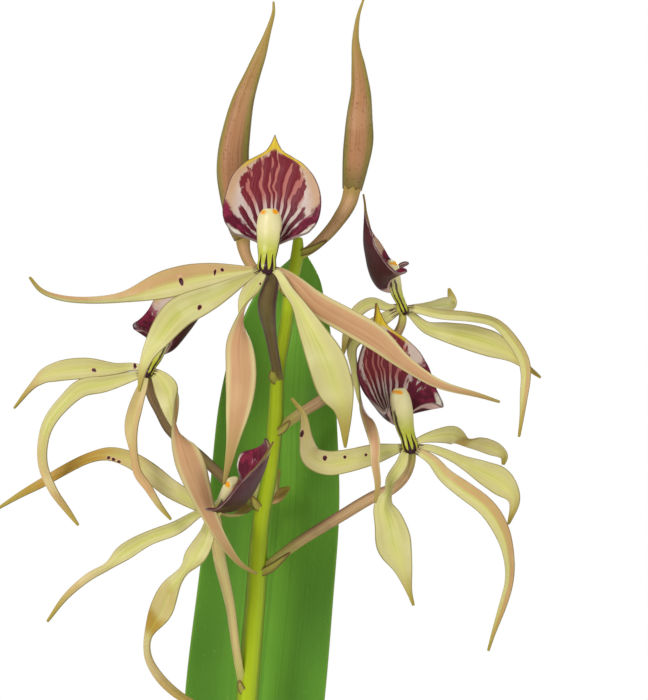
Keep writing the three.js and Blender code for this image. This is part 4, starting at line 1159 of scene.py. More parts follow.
@dataclass(frozen=True)
class Rhizome:
    """The creeping stem through the bulbs' feet, with scars round it, and its pale wandering roots."""

    run: tuple[Station, ...] = (
        (-43, 24, 90, 5), (-35, 20, 91, 8), (-22, 11, 91, 8), (-3.5, 4, 91, 9), (16, 11, 91, 8),
        (33, 20, 91, 8), (41, 24, 90, 5),
    )
    roots: tuple[tuple[Station, ...], ...] = (
        ((-4, 3), (-8, -10), (-20, -19), (-24, -33)),
        ((-2, 2), (4, -12), (2, -26), (12, -38)),
        ((-22, 12), (-32, 3), (-40, -6), (-49, -9)),
        ((15, 10), (27, 1), (34, -12), (46, -17)),
        ((18, 13), (14, 26), (19, 36), (13, 46)),
        ((-26, 15), (-24, 27), (-30, 35), (-27, 42)),
        ((33, 20), (41, 12), (45, 4), (49, 2)),
    )
    root_heights: tuple[float, ...] = (91.0, 92.6, 92.2, 87.0)
    root_width: float = 2.4
    scars: float = 60.0
    scar_height: float = 0.05
    root_bumps: float = 0.12

    def build(self, velamen: Material) -> None:
        """Builds the stem and the roots as one piece."""

        def stem_shape(angle: float, share: float, width: float) -> tuple[float, float]:
            """The point's way to the side and to the front, with a scar every few millimetres."""
            radius = width / 2 * (1 + self.scar_height * math.sin(self.scars * share) ** 3)
            return math.sin(angle) * radius, math.cos(angle) * radius

        def root_shape(angle: float, share: float, width: float) -> tuple[float, float]:
            """The point's way to the side and to the front."""
            radius = width / 2 * (1 + self.root_bumps * noise.noise(Vector((angle, 9 * share, 4.0))))
            return math.sin(angle) * radius, math.cos(angle) * radius

        mesh = start_mesh()
        add_stalk(mesh, Run(self.run, UP), 24, 90, stem_shape)
        for i, points in enumerate(self.roots):
            stations = [(*p, z, self.root_width) for p, z in zip(points, self.root_heights)]
            add_stalk(mesh, Run(stations, UP), 14, 48, root_shape, seed=float(i))
        hand_over(make_piece("rhizome_visual", mesh, velamen), "rhizome")


@dataclass(frozen=True)
class Pot:
    """A thrown clay pot with a rim band and four drain holes."""

    height: float = 105.0
    rim_radius: float = 64.0
    foot_radius: float = 45.0
    wall: float = 5.0
    band_height: float = 22.0
    band_step: float = 3.0
    floor: float = 6.0
    rounding: float = 1.2
    drain_radius: float = 4.5
    drain_circle: float = 24.0
    drains: int = 4
    steps: int = 128

    def radius_at(self, z: float) -> float:
        """The outer radius of the wall at a height."""
        return self.foot_radius + (self.rim_radius - self.band_step - self.foot_radius) * z / self.height

    def build(self, clay: Material) -> None:
        """Builds the pot: a spun wall, and a floor filled round its drain holes."""
        mesh = start_mesh()
        top, band = self.height, self.height - self.band_height
        inside = self.radius_at(top) - self.wall
        inner = self.radius_at(self.floor) - self.wall
        soft = self.rounding
        profile = (
            (self.foot_radius - 6, 0),
            (self.foot_radius - 2 * soft, 0),
            (self.foot_radius - soft, 0),
            (self.foot_radius - 0.3 * soft, 0.3 * soft),
            (self.foot_radius, soft),
            (self.radius_at(4), 4),
            (self.radius_at(40), 40),
            (self.radius_at(band - 4), band - 4),
            (self.radius_at(band - 0.6), band - 0.6),
            (self.radius_at(band) + 0.5, band),
            (self.rim_radius - 1.8 * soft, band),
            (self.rim_radius - soft, band),
            (self.rim_radius - 0.6 * soft, band + 0.3 * soft),
            (self.rim_radius - 0.4, band + soft),
            (self.rim_radius - 0.35, band + 4),
            (self.rim_radius - 0.05, top - 4),
            (self.rim_radius, top - soft),
            (self.rim_radius - 0.3 * soft, top - 0.3 * soft),
            (self.rim_radius - soft, top),
            (inside + soft, top),
            (inside + 0.3 * soft, top - 0.3 * soft),
            (inside, top - soft),
            (inside - 0.6, top - 5),
            (inner, self.floor),
            (inner - 6, self.floor),
        )
        points = [mesh.verts.new((radius, 0, z)) for radius, z in profile]
        line = [mesh.edges.new(pair) for pair in zip(points, points[1:])]
        bmesh.ops.spin(
            mesh,
            geom=[*points, *line],
            axis=UP,
            cent=(0, 0, 0),
            steps=self.steps,
            angle=2 * math.pi,
            use_merge=True,
        )
        holes = []
        for z in (0.0, self.floor):
            rim = [e for e in mesh.edges if e.is_boundary and abs(e.verts[0].co.z - z) < 0.01]
            rings = []
            for i in range(self.drains):
                turn = 2 * math.pi * (i + 0.5) / self.drains
                at = (self.drain_circle * math.cos(turn), self.drain_circle * math.sin(turn), z)
                ring = bmesh.ops.create_circle(
                    mesh, segments=32, radius=self.drain_radius, matrix=Matrix.Translation(at)
                )
                rings.append([e for v in ring["verts"] for e in v.link_edges if e.verts[0] is v])
            bmesh.ops.triangle_fill(mesh, edges=[*rim, *(e for ring in rings for e in ring)], use_beauty=True)
            holes.append(rings)
        for low, high in zip(*holes):
            bmesh.ops.bridge_loops(mesh, edges=[*low, *high])
        bmesh.ops.recalc_face_normals(mesh, faces=mesh.faces)
        hand_over(make_piece("pot_visual", mesh, clay), "pot")


@dataclass(frozen=True)
class BarkBed:
    """The fill of pine bark: a packed bed with loose chips lying over it."""

    pot: Pot
    fill_foot: float = 6.3
    fill_top: float = 89.0
    gap: float = 0.3
    chips: int = 150
    chip_length: tuple[float, float] = (8.0, 19.0)
    chip_width: tuple[float, float] = (0.45, 0.8)
    chip_thickness: tuple[float, float] = (3.0, 6.0)
    rounding: float = 0.8
    tilt: float = 0.4
    lump: float = 2.4
    crumb: float = 0.7
    bed_tone: float = 0.1
    edge: float = 10.5
    seed: int = 11

    def build(self, bark: Material) -> None:
        """Builds the bed and its chips as one piece."""
        mesh = start_mesh()
        run, own = (mesh.verts.layers.float_vector[name] for name in (RUN, OWN))
        heights = (self.fill_foot, self.fill_top)
        low, high = (self.pot.radius_at(z) - self.pot.wall - self.gap for z in heights)
        mid = (self.fill_foot + self.fill_top) / 2
        bed = bmesh.ops.create_cone(
            mesh,
            cap_ends=True,
            segments=96,
            radius1=low,
            radius2=high,
            depth=self.fill_top - self.fill_foot,
            matrix=Matrix.Translation((0, 0, mid)),
        )
        for vert in bed["verts"]:
            vert[own] = vert.co
            vert[run] = (0, 0, self.bed_tone)
        pick = Random(self.seed)
        # Without a seed of its own, noise_vector starts from the time of day
        noise.seed_set(self.seed)
        for i in range(self.chips):
            length = pick.uniform(*self.chip_length)
            size = (length, length * pick.uniform(*self.chip_width), pick.uniform(*self.chip_thickness))
            cube = bmesh.ops.create_cube(mesh, size=1.0)["verts"]
            edges = [e for v in cube for e in v.link_edges if e.verts[0] is v]
            bmesh.ops.subdivide_edges(mesh, edges=edges, cuts=4, use_grid_fill=True)
            chip = [v for v in mesh.verts if v[run].z == 0]
            start = Vector((3.7 * i, 1.3 * i, 0))
            tone = pick.uniform(0.01, 1)
            for vert in chip:
                flat = Vector(
                    min(max(c * side, self.rounding - side / 2), side / 2 - self.rounding)
                    for c, side in zip(vert.co, size)
                )
                away = Vector(c * side for c, side in zip(vert.co, size)) - flat
                corner = flat + away.normalized() * self.rounding
                push = noise.noise_vector(corner * 0.16 + start) * self.lump
                push += noise.noise_vector(corner * 0.5) * self.crumb
                vert.co = corner + Vector((push.x, push.y, 0.5 * push.z))
                vert[own] = vert.co + start
                vert[run] = (0, 0, tone)
            reach = (high - self.edge) * math.sqrt((i + 0.5) / self.chips)
            turn = i * math.pi * (3 - math.sqrt(5)) + pick.uniform(-0.3, 0.3)
            tilts = [pick.uniform(-self.tilt, self.tilt) for _ in range(2)]
            angles = (*tilts, pick.uniform(0, 6.3))
            height = self.fill_top + pick.uniform(0.2, 2.4)
            at = Matrix.Translation((reach * math.cos(turn), reach * math.sin(turn), height))
            bmesh.ops.transform(mesh, matrix=at @ Euler(angles).to_matrix().to_4x4(), verts=chip)
        # Each face is split along its shorter diagonal, so that the chips come out the same every time
        bmesh.ops.triangulate(mesh, faces=mesh.faces, quad_method="SHORT_EDGE")
        piece = make_piece("bark_medium_visual", mesh, bark)
        hand_over(piece, "bark_medium")


class Floor(Finish):
    """Matt white studio paper with a faint grain, drawn coarse enough to show."""

    sheet: str = "#F2F2F0"
    fleck: str = "#E9E9E7"
    flecks_per_m: float = 300.0

    def pattern(self, tree: NodeTree) -> tuple[NodeSocket, NodeSocket]:
        """Draws the faint grain of the paper."""
        place = add_node(tree, "TexCoord", output="Object")
        grain = add_node(tree, "TexNoise", {"Vector": place, "Scale": self.flecks_per_m, "Detail": 2.0})
        return paint(tree, self.sheet, [(self.fleck, 0.5, (grain, 0.4, 0.7))]), grain


@dataclass(frozen=True)
class Studio:
    """The camera at the photograph's angle and framing, soft lamps, a white surround and a pale floor."""

    lens: float = 135.0
    eye: Station = (20.9, -616.9, 373.75)
    aim: Station = (0.02, 0.0, 0.3)
    floor_radius: float = 3.0
    fade: tuple[float, float] = (0.45, 1.2)
    glow: float = 0.42

    def place_camera(self) -> None:
        """Places the camera level with the middle of the photograph."""
        lens = bpy.data.cameras.new("camera")
        lens.lens = self.lens
        lens.sensor_width = 36.0
        lens.clip_start = 0.01
        camera = bpy.data.objects.new("camera", lens)
        camera.location = Vector(self.eye) * MM
        camera.rotation_euler = (math.radians(90), 0, 0)
        bpy.context.scene.collection.objects.link(camera)
        bpy.context.scene.camera = camera

    def add_lamp(self, name: str, place: Station, size: float, power: float) -> None:
        """Adds a soft square lamp that looks at the flowers.

        Args:
            name: The lamp's name.
            place: Where it stands, in metres.
            size: The length of its side in metres.
            power: Its power in watts.
        """
        lamp = bpy.data.lights.new(name, "AREA")
        lamp.size = size
        lamp.energy = power
        stand = bpy.data.objects.new(name, lamp)
        stand.location = place
        aim = Vector(self.aim) - Vector(place)
        stand.rotation_euler = aim.to_track_quat("-Z", "Y").to_euler()
        bpy.context.scene.collection.objects.link(stand)

    def build(self) -> None:
        """Builds the surround, the lamps and the floor."""
        world = bpy.data.worlds.new("white surround")
        bpy.context.scene.world = world
        world.use_nodes = True
        tree = world.node_tree
        seen = add_node(tree, "LightPath", output="Is Camera Ray")
        strength = add_node(tree, "MapRange", {0: seen, 3: self.glow, 4: 1.0})
        tree.nodes["Background"].inputs["Color"].default_value = (1, 1, 1, 1)
        tree.links.new(strength, tree.nodes["Background"].inputs["Strength"])
        bpy.context.scene.view_settings.view_transform = "Standard"
        self.add_lamp("key", (-0.55, -0.9, 0.95), 0.4, 8.6)
        self.add_lamp("fill", (0.9, -0.7, 0.4), 0.8, 2.6)
        self.add_lamp("rim", (0.35, 0.8, 0.8), 0.5, 5.0)
        mesh = bmesh.new()
        bmesh.ops.create_circle(mesh, cap_ends=True, segments=96, radius=self.floor_radius)
        data = bpy.data.meshes.new("floor")
        mesh.to_mesh(data)
        mesh.free()
        paper = Floor(name="matt white studio paper", roughness=0.8).build()
        tree = paper.node_tree
        place = add_node(tree, "TexCoord", output="Object")
        far = add_node(tree, "VectorMath", {0: place}, operation="LENGTH")
        share = add_node(tree, "MapRange", {0: far, 1: self.fade[0], 2: self.fade[1]})
        white = add_node(tree, "Emission", {"Color": (1, 1, 1, 1), "Strength": 1.0})
        out = tree.nodes["Material Output"]
        skin = tree.nodes["Principled BSDF"].outputs[0]
        mixed = add_node(tree, "MixShader", {0: share, 1: skin, 2: white})
        tree.links.new(mixed, out.inputs["Surface"])
        data.materials.append(paper)
        floor = bpy.data.objects.new("floor", data)
        bpy.context.scene.collection.objects.link(floor)


# Fresh petal skin: soft yellow green inside, with tan blushes and dark marks near the foot
INSIDE = PlantSkin(
    name="fresh petal inside", middle="#CFCB7C", margin="#CBC284", base="#D3CA88", tip="#A8943C",
    rim="#83743A", rim_start=0.93, streak="#B4B452", streaks=5.0, streak_detail=1.0, relief_mm=0.02,
    streak_amount=0.45, blotch="#DCD89E", blotch_amount=0.45, midrib="#AEB64C", midrib_amount=0.4,
    fade=(0.85, 0.5), speck="#44141C", tinted=1.0, mark_amount=0.9,
)
OUTSIDE = PlantSkin(
    name="fresh petal outside", middle="#C4976C", margin="#D0C288", base="#9C8A54", tip="#A08A48",
    rim="#80663C", rim_start=0.93, band=(0.5, 0.85), streak="#AC7654", streaks=5.0, streak_detail=1.0,
    relief_mm=0.02, streak_amount=0.5, blotch="#CFAE80", blotch_amount=0.4, fade=(0.85, 0.5),
)
# Smooth round stalks: olive, tan or pinkish brown, with fine darker lines along them; the darker brown
# and purple margin and rim colours on their sides are painted shade
OLIVE_STALK = PlantSkin(
    name="smooth olive stalk", middle="#74623A", margin="#4F3430", base="#6E6A34", tip="#7D7A34",
    rim="#3E2A22", band=(0.4, 1.0), streak="#54302E", streak_amount=0.5, streaks=5.0, blotch="#7C7640",
    blotch_amount=0.5, blotch_mm=6.0, subsurface=0.08,
)
GREEN_BROWN_STALK = replace(
    OLIVE_STALK, name="smooth green brown stalk", middle="#8E7450", margin="#6A5436", blotch="#7C8238",
)
TAN_STALK = replace(
    OLIVE_STALK, name="smooth tan stalk", middle="#DEC884", margin="#B8A268", base="#CCC072", tip="#B6B658",
    streak="#AE946A", blotch="#DCD292",
)
PINK_BROWN_STALK = replace(
    OLIVE_STALK, name="smooth pinkish brown stalk", middle="#D0AC7E", margin="#AA865E", base="#B8B454",
    tip="#AEA854", base_ends=(0.3, 0.08), streak="#8A5850", streak_amount=0.7,
)
BUD_STALK = replace(
    OLIVE_STALK, name="smooth bud stalk", middle="#CCA274", margin="#A69048", base="#A68A46", tip="#B2B244",
    streak="#986C4A", blotch="#B2984A",
)
# Stem and bracts: bright lime green with a satin gloss, drying to brown at the bracts' tips; the stem's
# darker green margin and rim colours on its sides are painted shade
SCAPE_GREEN = PlantSkin(
    name="smooth green stem", middle="#A8BC0E", margin="#7C960C", base="#7C9A1C", tip="#A4B61C",
    rim="#5E780E", band=(0.3, 1.0), streak="#BACC2E", streak_amount=0.35, streaks=6.0, streak_runs=2.0,
    blotch="#98AE10", subsurface=0.06,
)
BRACT = replace(
    SCAPE_GREEN, name="drying bract", middle="#A49A48", margin="#8E7A3E", tip="#8A6438", rim="#5E4226",
)
# Leathery strap leaf: satin green with fine parallel veins, its face darker towards its edges as painted
# shade, paler and duller beneath
LEAF_FACE = PlantSkin(
    name="leathery leaf face", middle="#72AA33", margin="#5A8E28", base="#8FA84A", tip="#689E2E",
    rim="#86A038", rim_start=0.975, streak="#578C25", streak_amount=0.5, streaks=42.0, streak_runs=1.1,
    blotch="#62982A", blotch_amount=0.35, blotch_mm=26.0, speck="#8CB24A", speck_amount=0.35, speck_mm=1.0,
    speck_ends=(0.7, 0.74), midrib="#588C28", midrib_amount=0.35, roughness=0.4, subsurface=0.05,
    relief_mm=0.1,
)
LEAF_BACK = PlantSkin(
    name="leathery leaf back", middle="#6FA03C", margin="#669A38", base="#93A858", tip="#72A840",
    rim="#9CB850", streak="#548530", streak_amount=0.5, streaks=42.0, streak_runs=1.1, blotch="#7FB04C",
    midrib="#A8C070", midrib_amount=0.5, roughness=0.5, subsurface=0.05, relief_mm=0.1,
)
# Closed bud: satin tan brown with fine lines and dots, olive at its point, and olive and darker on its
# sides, partly its own olive colour and partly painted shade
BUD_SKIN = PlantSkin(
    name="closed bud skin", middle="#AE7C54", margin="#8A8236", base="#7C6C34", tip="#A08C40", rim="#665A24",
    band=(0.4, 0.9), base_ends=(0.16, 0.0), tip_ends=(0.4, 1.0), streak="#8C5838", streak_amount=0.55,
    streaks=7.0, streak_runs=3.0, blotch="#C49A70", blotch_amount=0.3, speck="#6E3E2A", speck_amount=0.5,
    speck_mm=0.7, speck_ends=(0.62, 0.68), subsurface=0.1,
)
# Firm pseudobulb: dull green ribs with yellowish blotches, darker on its sides as painted shade
BULB_SKIN = PlantSkin(
    name="firm bulb skin", middle="#7F9C3C", margin="#6C8C32", base="#8A8A4A", tip="#8C9A48", rim="#5E7A2A",
    streak="#5F8028", streak_amount=0.5, streaks=7.0, streak_runs=1.0, blotch="#A8AE5A", blotch_amount=0.4,
    speck="#6A6A30", speck_amount=0.3, roughness=0.4, subsurface=0.1,
)
# Dead sheath: thin, straw coloured and fibrous, without gloss
PAPERY = PlantSkin(
    name="dry papery sheath", middle="#C6AC7C", margin="#B89A68", base="#8E7248", tip="#D8C49A",
    rim="#A88A5C", tip_ends=(0.3, 0.45), streak="#9C7E52", streak_amount=0.7, streaks=30.0, streak_runs=2.0,
    blotch="#A5885A", blotch_amount=0.5, roughness=0.8, relief_mm=0.2,
)
# Velamen: the roots' spongy whitish skin, greener where it is wet, quite matt, and greyer on its sides
# than on its top as painted shade
VELAMEN = PlantSkin(
    name="spongy root skin", middle="#D8D4BC", margin="#C2BEA0", base="#B9B690", tip="#9CAE62",
    rim="#A8A488", blotch="#A8AC84", blotch_amount=0.6, blotch_mm=5.0, speck="#8A8464", speck_amount=0.4,
    roughness=0.85,
)
# Satin lip, striped in front and dull maroon behind
LIP_FRONT = LipSkin(name="satin lip front", subsurface=0.05, relief_mm=0.06)
LIP_BACK = LipBack(name="satin lip back", subsurface=0.05)

BLOOMS = (
    Bloom(
        name="bloom_a", centre=(8, -24, 392.3), up=(0.051, 0.292, 0.955), facing=(-0.099, -0.95, 0.295),
        size=0.98,
        lip=Lip(depth=0.36, droop=0.02, tip=-1.0),
        pedicel=(
            (9.1, -21.2, 390.2, 3), (7.9, -18, 384.4, 4.4), (8.6, -10, 377.2, 2.8), (9.7, -3, 370, 2.4),
            (10.3, 0, 366.7, 2.4),
        ),
        stalk=OLIVE_STALK,
        spots=(
            (-11.6, 389.4, 2, 1, -15), (-3.8, 391.4, 1.3, 0.6, 10), (-2.1, 391.9, 0.8, 0.7, 0),
            (-6.9, 383.3, 1.2, 0.9, 30), (6.6, 388.6, 0.6, 0.4, 0), (7.6, 387.4, 0.7, 0.5, 20),
            (8.8, 388.2, 0.5, 0.4, 0), (9, 386.8, 0.6, 0.4, 0),
        ),
        tepals=(
            Tepal((
                (-1, 0, 0, 1.6), (-3.4, 0, -0.5, 1.8), (-11.8, 2, -1.3, 5), (-18.3, 4, -2.4, 6.6),
                (-24.3, 6, -4, 6.4, 10), (-32.7, 8, -6.6, 3.4, 40), (-41.8, 10, -7.3, 2.4, 55),
                (-47.9, 12, -6.6, 2, 55), (-52.4, 13, -4.9, 1.4, 50), (-55.2, 14, -1.6, 0.6, 40),
            ), blush=(0.4, 1.0, 1.2), side=1),
            Tepal((
                (-1, 0, -0.6, 1.4), (-3.8, -1, -1.9, 1.6), (-12.2, -5, -6.7, 5.4), (-19.1, -9, -10.1, 7.1),
                (-22.7, -12, -14.6, 6, 5), (-25.8, -13, -19.7, 3.4, 25), (-27.1, -13, -23, 2.4, 35),
                (-28, -12, -27.8, 0.6, 40),
            ), blush=(0.0, 0.0, 0.3)),
            Tepal((
                (-0.4, -0.4, -0.6, 1.6), (-1.1, -2, -1.9, 1.8), (-3.6, -6, -5.6, 3.8, 15),
                (-5.1, -10, -10.1, 3.8, 80), (-5.7, -12, -17.4, 6.2, 165), (-5.4, -13, -24.3, 6.9, 180),
                (-6.1, -13, -31.8, 5.5, 180), (-7.5, -11, -39.6, 2.7, 185), (-9.4, -8, -48.6, 0.6, 190),
            ), blush=(0.1, 0.1, 0.3)),
            Tepal((
                (0.8, -0.4, -0.4, 1.4), (2.5, -2, -1.2, 1.6), (4.8, -4, -5.1, 2.4), (7.1, -6, -8.3, 3),
                (9.8, -8, -13.6, 5.6), (13.1, -7, -20.3, 8.5), (15.6, -4, -27.5, 8.1),
                (17.4, -2, -32.3, 4.1, 15), (17.7, 2, -40.8, 0.6, 30),
            ), blush=(0.0, 0.0, 0.15)),
            Tepal((
                (1, 0, -0.3, 1.4, 180), (3.4, 0, -0.9, 1.8, 180), (7.5, -2, -4.4, 3.6, 180),
                (10.7, -3, -7.8, 5.4, 180), (17.6, -4, -11.8, 5.8, 180), (24.6, -4, -15.9, 5.8, 180),
                (31.1, -3, -21.5, 3.4, 190), (38.6, -2, -26.2, 2.2, 200), (47.6, -1, -28.7, 1.2, 200),
                (52.7, 0, -30.3, 0.6, 200),
            ), blush=(0.2, 0.3, 0.4)),
        ),
    ),
    Bloom(
        name="bloom_b", centre=(-19.4, -16, 368.5), up=(0.342, 0.466, 0.816), facing=(-0.538, -0.615, 0.577),
        size=0.81,
        pedicel=(
            (-19.4, -14, 367.6, 2.4), (-18.8, -12.2, 363.6, 2.6), (-16.9, -11, 359.6, 2.6),
            (-14.7, -10, 355.2, 2.4), (-7.9, -7, 349.2, 2.4), (-2.2, -4.6, 343.6, 2.6), (4.9, 0, 337.3, 2.6),
        ),
        stalk=GREEN_BROWN_STALK,
        lip=Lip(depth=1.12, low=0.85, lift=3.0),
        lip_skin=replace(
            LIP_FRONT, name="satin lip front, crimson lobes",
            lobe_from=26.0, peachy=0.4, white_foot=5.0, white_reach=0.9,
        ),
        spots=((-32.1, 369.1, 0.8, 1.3, 20), (-22.4, 370.1, 1.2, 0.7, 0)),
        tepals=(
            Tepal((
                (-0.8, 0, 0.4, 1.4), (-2.5, 0, 1.4, 1.6), (-7.9, 2, 0.9, 2.8), (-13.6, 4, 1.1, 4.8),
                (-20.3, 6, 0.4, 4.9, 10), (-24.3, 7, -0.8, 3.6, 20), (-27.2, 7.5, -3.1, 2, 40),
                (-31.7, 8, -8.4, 0.6, 50),
            ), blush=(0.05, 0.15, 0.7)),
            Tepal((
                (-0.8, 0, -0.2, 1.6), (-2.4, -1, -0.5, 2), (-9.6, -2, -2.5, 3.6), (-14.6, -3, -3.4, 4.3, 10),
                (-18.1, -4, -6.4, 3.8, 25), (-21.8, -4, -10.9, 3.4, 30), (-23.4, -4, -15.7, 3.2, 35),
                (-23.5, -3, -21, 2.8, 35), (-21.4, -3, -26.6, 2.4, 30), (-18.3, -2, -31.2, 1.6, 20),
                (-15.7, -2, -34.8, 0.6, 10),
            ), blush=(0.05, 0.25, 0.9)),
            Tepal((
                (0.4, 0, 0, 1.8), (1.7, -1, -0.2, 2.6), (4.4, -4, -3.4, 5.4), (5.5, -7, -7.2, 4.6, 30),
                (7, -10, -12.3, 3.8, 90), (9.1, -12, -17, 5.8, 165), (10.5, -12, -21, 6.7, 180),
                (12.2, -10.6, -26, 5.6, 180), (14.3, -8, -32, 3.6, 180), (17.3, -4.4, -38.1, 2.5, 180),
                (21.1, 0, -43.7, 1.2, 180), (24.9, 4, -46.4, 0.6, 180),
            ), blush=(0.1, 0.1, 0.2)),
            Tepal((
                (-0.2, -0.2, -0.4, 1.4), (-0.5, -1, -1.4, 1.6), (-1.2, -2.5, -3.6, 2.4),
                (-2.5, -4, -7.7, 3.2), (-3.2, -6, -12.2, 3.4, 20), (-2.4, -8, -17.8, 2.8, 50),
                (-1.6, -9, -22.3, 2.6, 40), (0.7, -10, -25.6, 2.2, 30), (3.2, -10, -29.6, 1.6, 30),
                (5.9, -10, -33, 0.6, 30),
            ), blush=(0.3, 0.7, 1.3)),
            Tepal((
                (0.8, 0.6, -0.4, 1.4), (2.6, 2.4, -1.5, 1.8), (4, 6, -2.8, 2.6), (4.6, 11, -4.6, 3.2),
                (5, 15.5, -8, 2.6), (5.2, 18, -12, 0.6, 10),
            ), facing=UP),
        ),
    ),
    Bloom(
        name="bloom_c", centre=(-4, -16, 336.7), up=(0.443, -0.707, 0.552), facing=(-0.813, -0.057, 0.579),
        size=0.9,
        pedicel=(
            (-3.8, -14.4, 334.4, 2.6), (-3.3, -12, 326.5, 3), (-0.9, -7, 314.5, 2.3), (0.4, -4, 303.7, 2),
            (2, 0, 293.4, 2),
        ),
        stalk=TAN_STALK,
        lip=Lip(depth=1.12, low=0.55, droop=0.036),
        lip_skin=replace(
            LIP_FRONT, name="satin lip front, dark lobes",
            lobe_from=14.0, peachy=0.2, white_foot=4.0, white_reach=0.6,
        ),
        spots=((-28.6, 349, 0.8, 0.7, 0), (-27.5, 348.6, 0.8, 0.9, 20), (-26.2, 348.1, 0.6, 0.9, 20)),
        tepals=(
            Tepal((
                (-0.8, 0, 0.2, 1.6), (-2.7, -1, 0.7, 2), (-5.7, -1, 2.8, 3.6), (-10.8, 0, 5.7, 4.4),
                (-15, 1, 9.1, 4.4), (-19.4, 2, 11.8, 3.9), (-24.3, 3, 13.1, 3.2, 10),
                (-29, 4, 12.2, 2.6, 25), (-34.9, 5, 9.3, 2.6, 30), (-40.6, 5, 6.1, 2.4, 30),
                (-45.4, 6, 3.5, 1.6, 30), (-50.7, 6, 0.3, 0.6, 30),
            ), blush=(0.1, 0.5, 1.0), ochre=(0.95, 0.62)),
            Tepal((
                (-0.8, -0.4, 0, 1.4), (-3.4, -2, -0.1, 1.8), (-8.8, -3, -3.5, 3.2), (-14.9, -4, -5.7, 3.3),
                (-20, -5, -8.6, 3.9), (-24.1, -5, -12.2, 2.6, 50), (-28.6, -6, -14.6, 2.2, 40),
                (-33.6, -6, -18.9, 1.6, 30), (-37.9, -6, -24.6, 0.6, 30),
            ), blush=(0.0, 0.15, 0.8)),
            Tepal((
                (-0.4, -0.6, -0.6, 1.6), (-1.1, -2, -1.7, 2), (-1.7, -4, -5, 3.6), (-4.1, -6, -9.6, 5, 10),
                (-6.6, -6, -13.3, 4.2, 60), (-10.1, -5, -17.9, 5.2, 20), (-12.2, -4, -22.5, 5.4, 10),
                (-14.8, -2, -27.3, 3, 40), (-15.4, -1, -30.4, 2.4, 50), (-14.9, 0, -34.1, 2.4, 40),
                (-12.2, 1, -38.6, 2.7, 30), (-6.6, 2, -43.3, 2.3, 30), (1.5, 2, -46.6, 0.6, 30),
            ), blush=(0.1, 0.2, 0.9), ochre=(0.5, 0.13)),
            Tepal((
                (0.5, 0.6, 0.2, 1.4), (1.4, 4, 0.7, 1.8), (2.8, 11, 0.6, 2.8), (4, 17.5, 0.7, 3.2),
                (6.6, 22, 1.8, 3.6, 30), (10.2, 24.4, 3.4, 4.2, 70), (13, 24, 5, 4.2, 85),
                (14.4, 22.4, 8.6, 0.8, 90),
            ), facing=UP, blush=(0.0, 0.1, 0.2)),
            Tepal((
                (0.6, 0.6, -0.2, 1.4), (1.9, 4, -1, 1.8), (3.7, 11, -1.6, 2.6), (5.5, 18, -1.6, 3),
                (8, 22.5, 0.4, 3.2, 30), (10.9, 25.4, 1.6, 3.6, 65), (13.8, 25.6, 2.2, 3.6, 80),
                (16.8, 24.6, 4.4, 0.8, 85),
            ), facing=UP, blush=(0.3, 0.6, 0.9)),
        ),
    ),
    Bloom(
        name="bloom_d", centre=(39.2, 0, 383.4), up=(-0.314, -0.12, 0.942), facing=(0.947, -0.08, 0.311),
        size=0.84,
        lip=Lip(depth=1.08, low=1.2, droop=0.1, slim=0.5, sag=0.9),
        pedicel=(
            (39.4, 0.8, 381, 2), (38.4, 3, 378, 2.2), (33, 4, 371.4, 2.4), (27, 4, 366.2, 2.7),
            (21.1, 3, 362.4, 2.8), (15.2, 2, 358.7, 2.6), (10.4, 0, 355.4, 2.6),
        ),
        stalk=PINK_BROWN_STALK,
        tepals=(
            Tepal((
                (0.8, -0.2, 0, 1.4), (2.8, -1, 0, 1.8), (8.9, -2, -1.2, 2.4, 20), (15.8, -3, -1.7, 2.8, 40),
                (21.7, -3, -3.1, 2.8, 40), (25.4, -4, -6.8, 2.8, 30), (28.2, -4, -11.5, 2.8, 20),
                (28.9, -4, -15.5, 2.4, 20), (28.4, -4, -20.2, 2, 20), (27.9, -4, -25.3, 1.1, 20),
                (27.2, -4, -30, 0.6, 20),
            ), blush=(0.1, 0.5, 0.9), side=-1),
            Tepal((
                (0.7, 0.1, -0.4, 1.4), (2.1, 0.3, -1.2, 1.6), (5.5, 1, -4.2, 2.8), (10.2, 2, -5.4, 4.7),
                (15.7, 2, -6.6, 6.1), (20.8, 1.4, -8.2, 6.3), (24.9, 1, -10.1, 4.2, 10),
                (28.3, 1, -12.7, 2, 20), (32.7, 0, -16.2, 0.6, 20),
            ), blush=(0.0, 0.0, 0.3)),
            Tepal((
                (0.8, 0.4, 0.1, 1.4), (2.9, 1.4, 0.2, 1.8), (6.9, 6, 0.6, 2.6), (10.3, 13, 1.2, 3.8, 10),
                (12.7, 18.6, 1.9, 3, 20), (12, 20, 5.4, 0.6, 20),
            ), blush=(0.0, 0.0, 0.3)),
            Tepal((
                (-0.8, -0.2, 0.4, 1.6), (-3.2, -0.7, 0.3, 1.8), (-7.1, -2, 1.4, 2.8),
                (-10.6, -3, -0.8, 3, 10), (-12.7, -4, -5, 2.4, 20), (-13.9, -5, -10.8, 0.7, 20),
            ), blush=(0.1, 0.2, 0.5)),
            Tepal((
                (-0.6, -0.2, -0.3, 1.6), (-2.3, -0.8, -1.2, 2.4), (-7.5, -2, -4.5, 3.7),
                (-11.5, -4, -8.5, 2.8, 20), (-11.3, -6, -13.1, 2.2, 40), (-10.4, -8, -18.5, 2.2, 60),
                (-9.4, -12, -23, 2.4, 100), (-7.8, -17.4, -26.6, 2.8, 160), (-6.7, -20, -31.3, 2.4, 180),
                (-6.7, -21, -35.1, 2, 180), (-6.1, -22, -40.2, 1.4, 180), (-6.7, -22, -44.3, 0.6, 180),
            ), blush=(0.1, 0.2, 0.6)),
        ),
    ),
    Bloom(
        name="bloom_e", centre=(40.5, -12, 351.4), up=(-0.211, 0.178, 0.961), facing=(0.612, -0.743, 0.272),
        size=0.98,
        lip=Lip(depth=1.06, droop=0.137, tip=1.5),
        lip_skin=replace(
            LIP_FRONT, name="satin lip front, wide lobes",
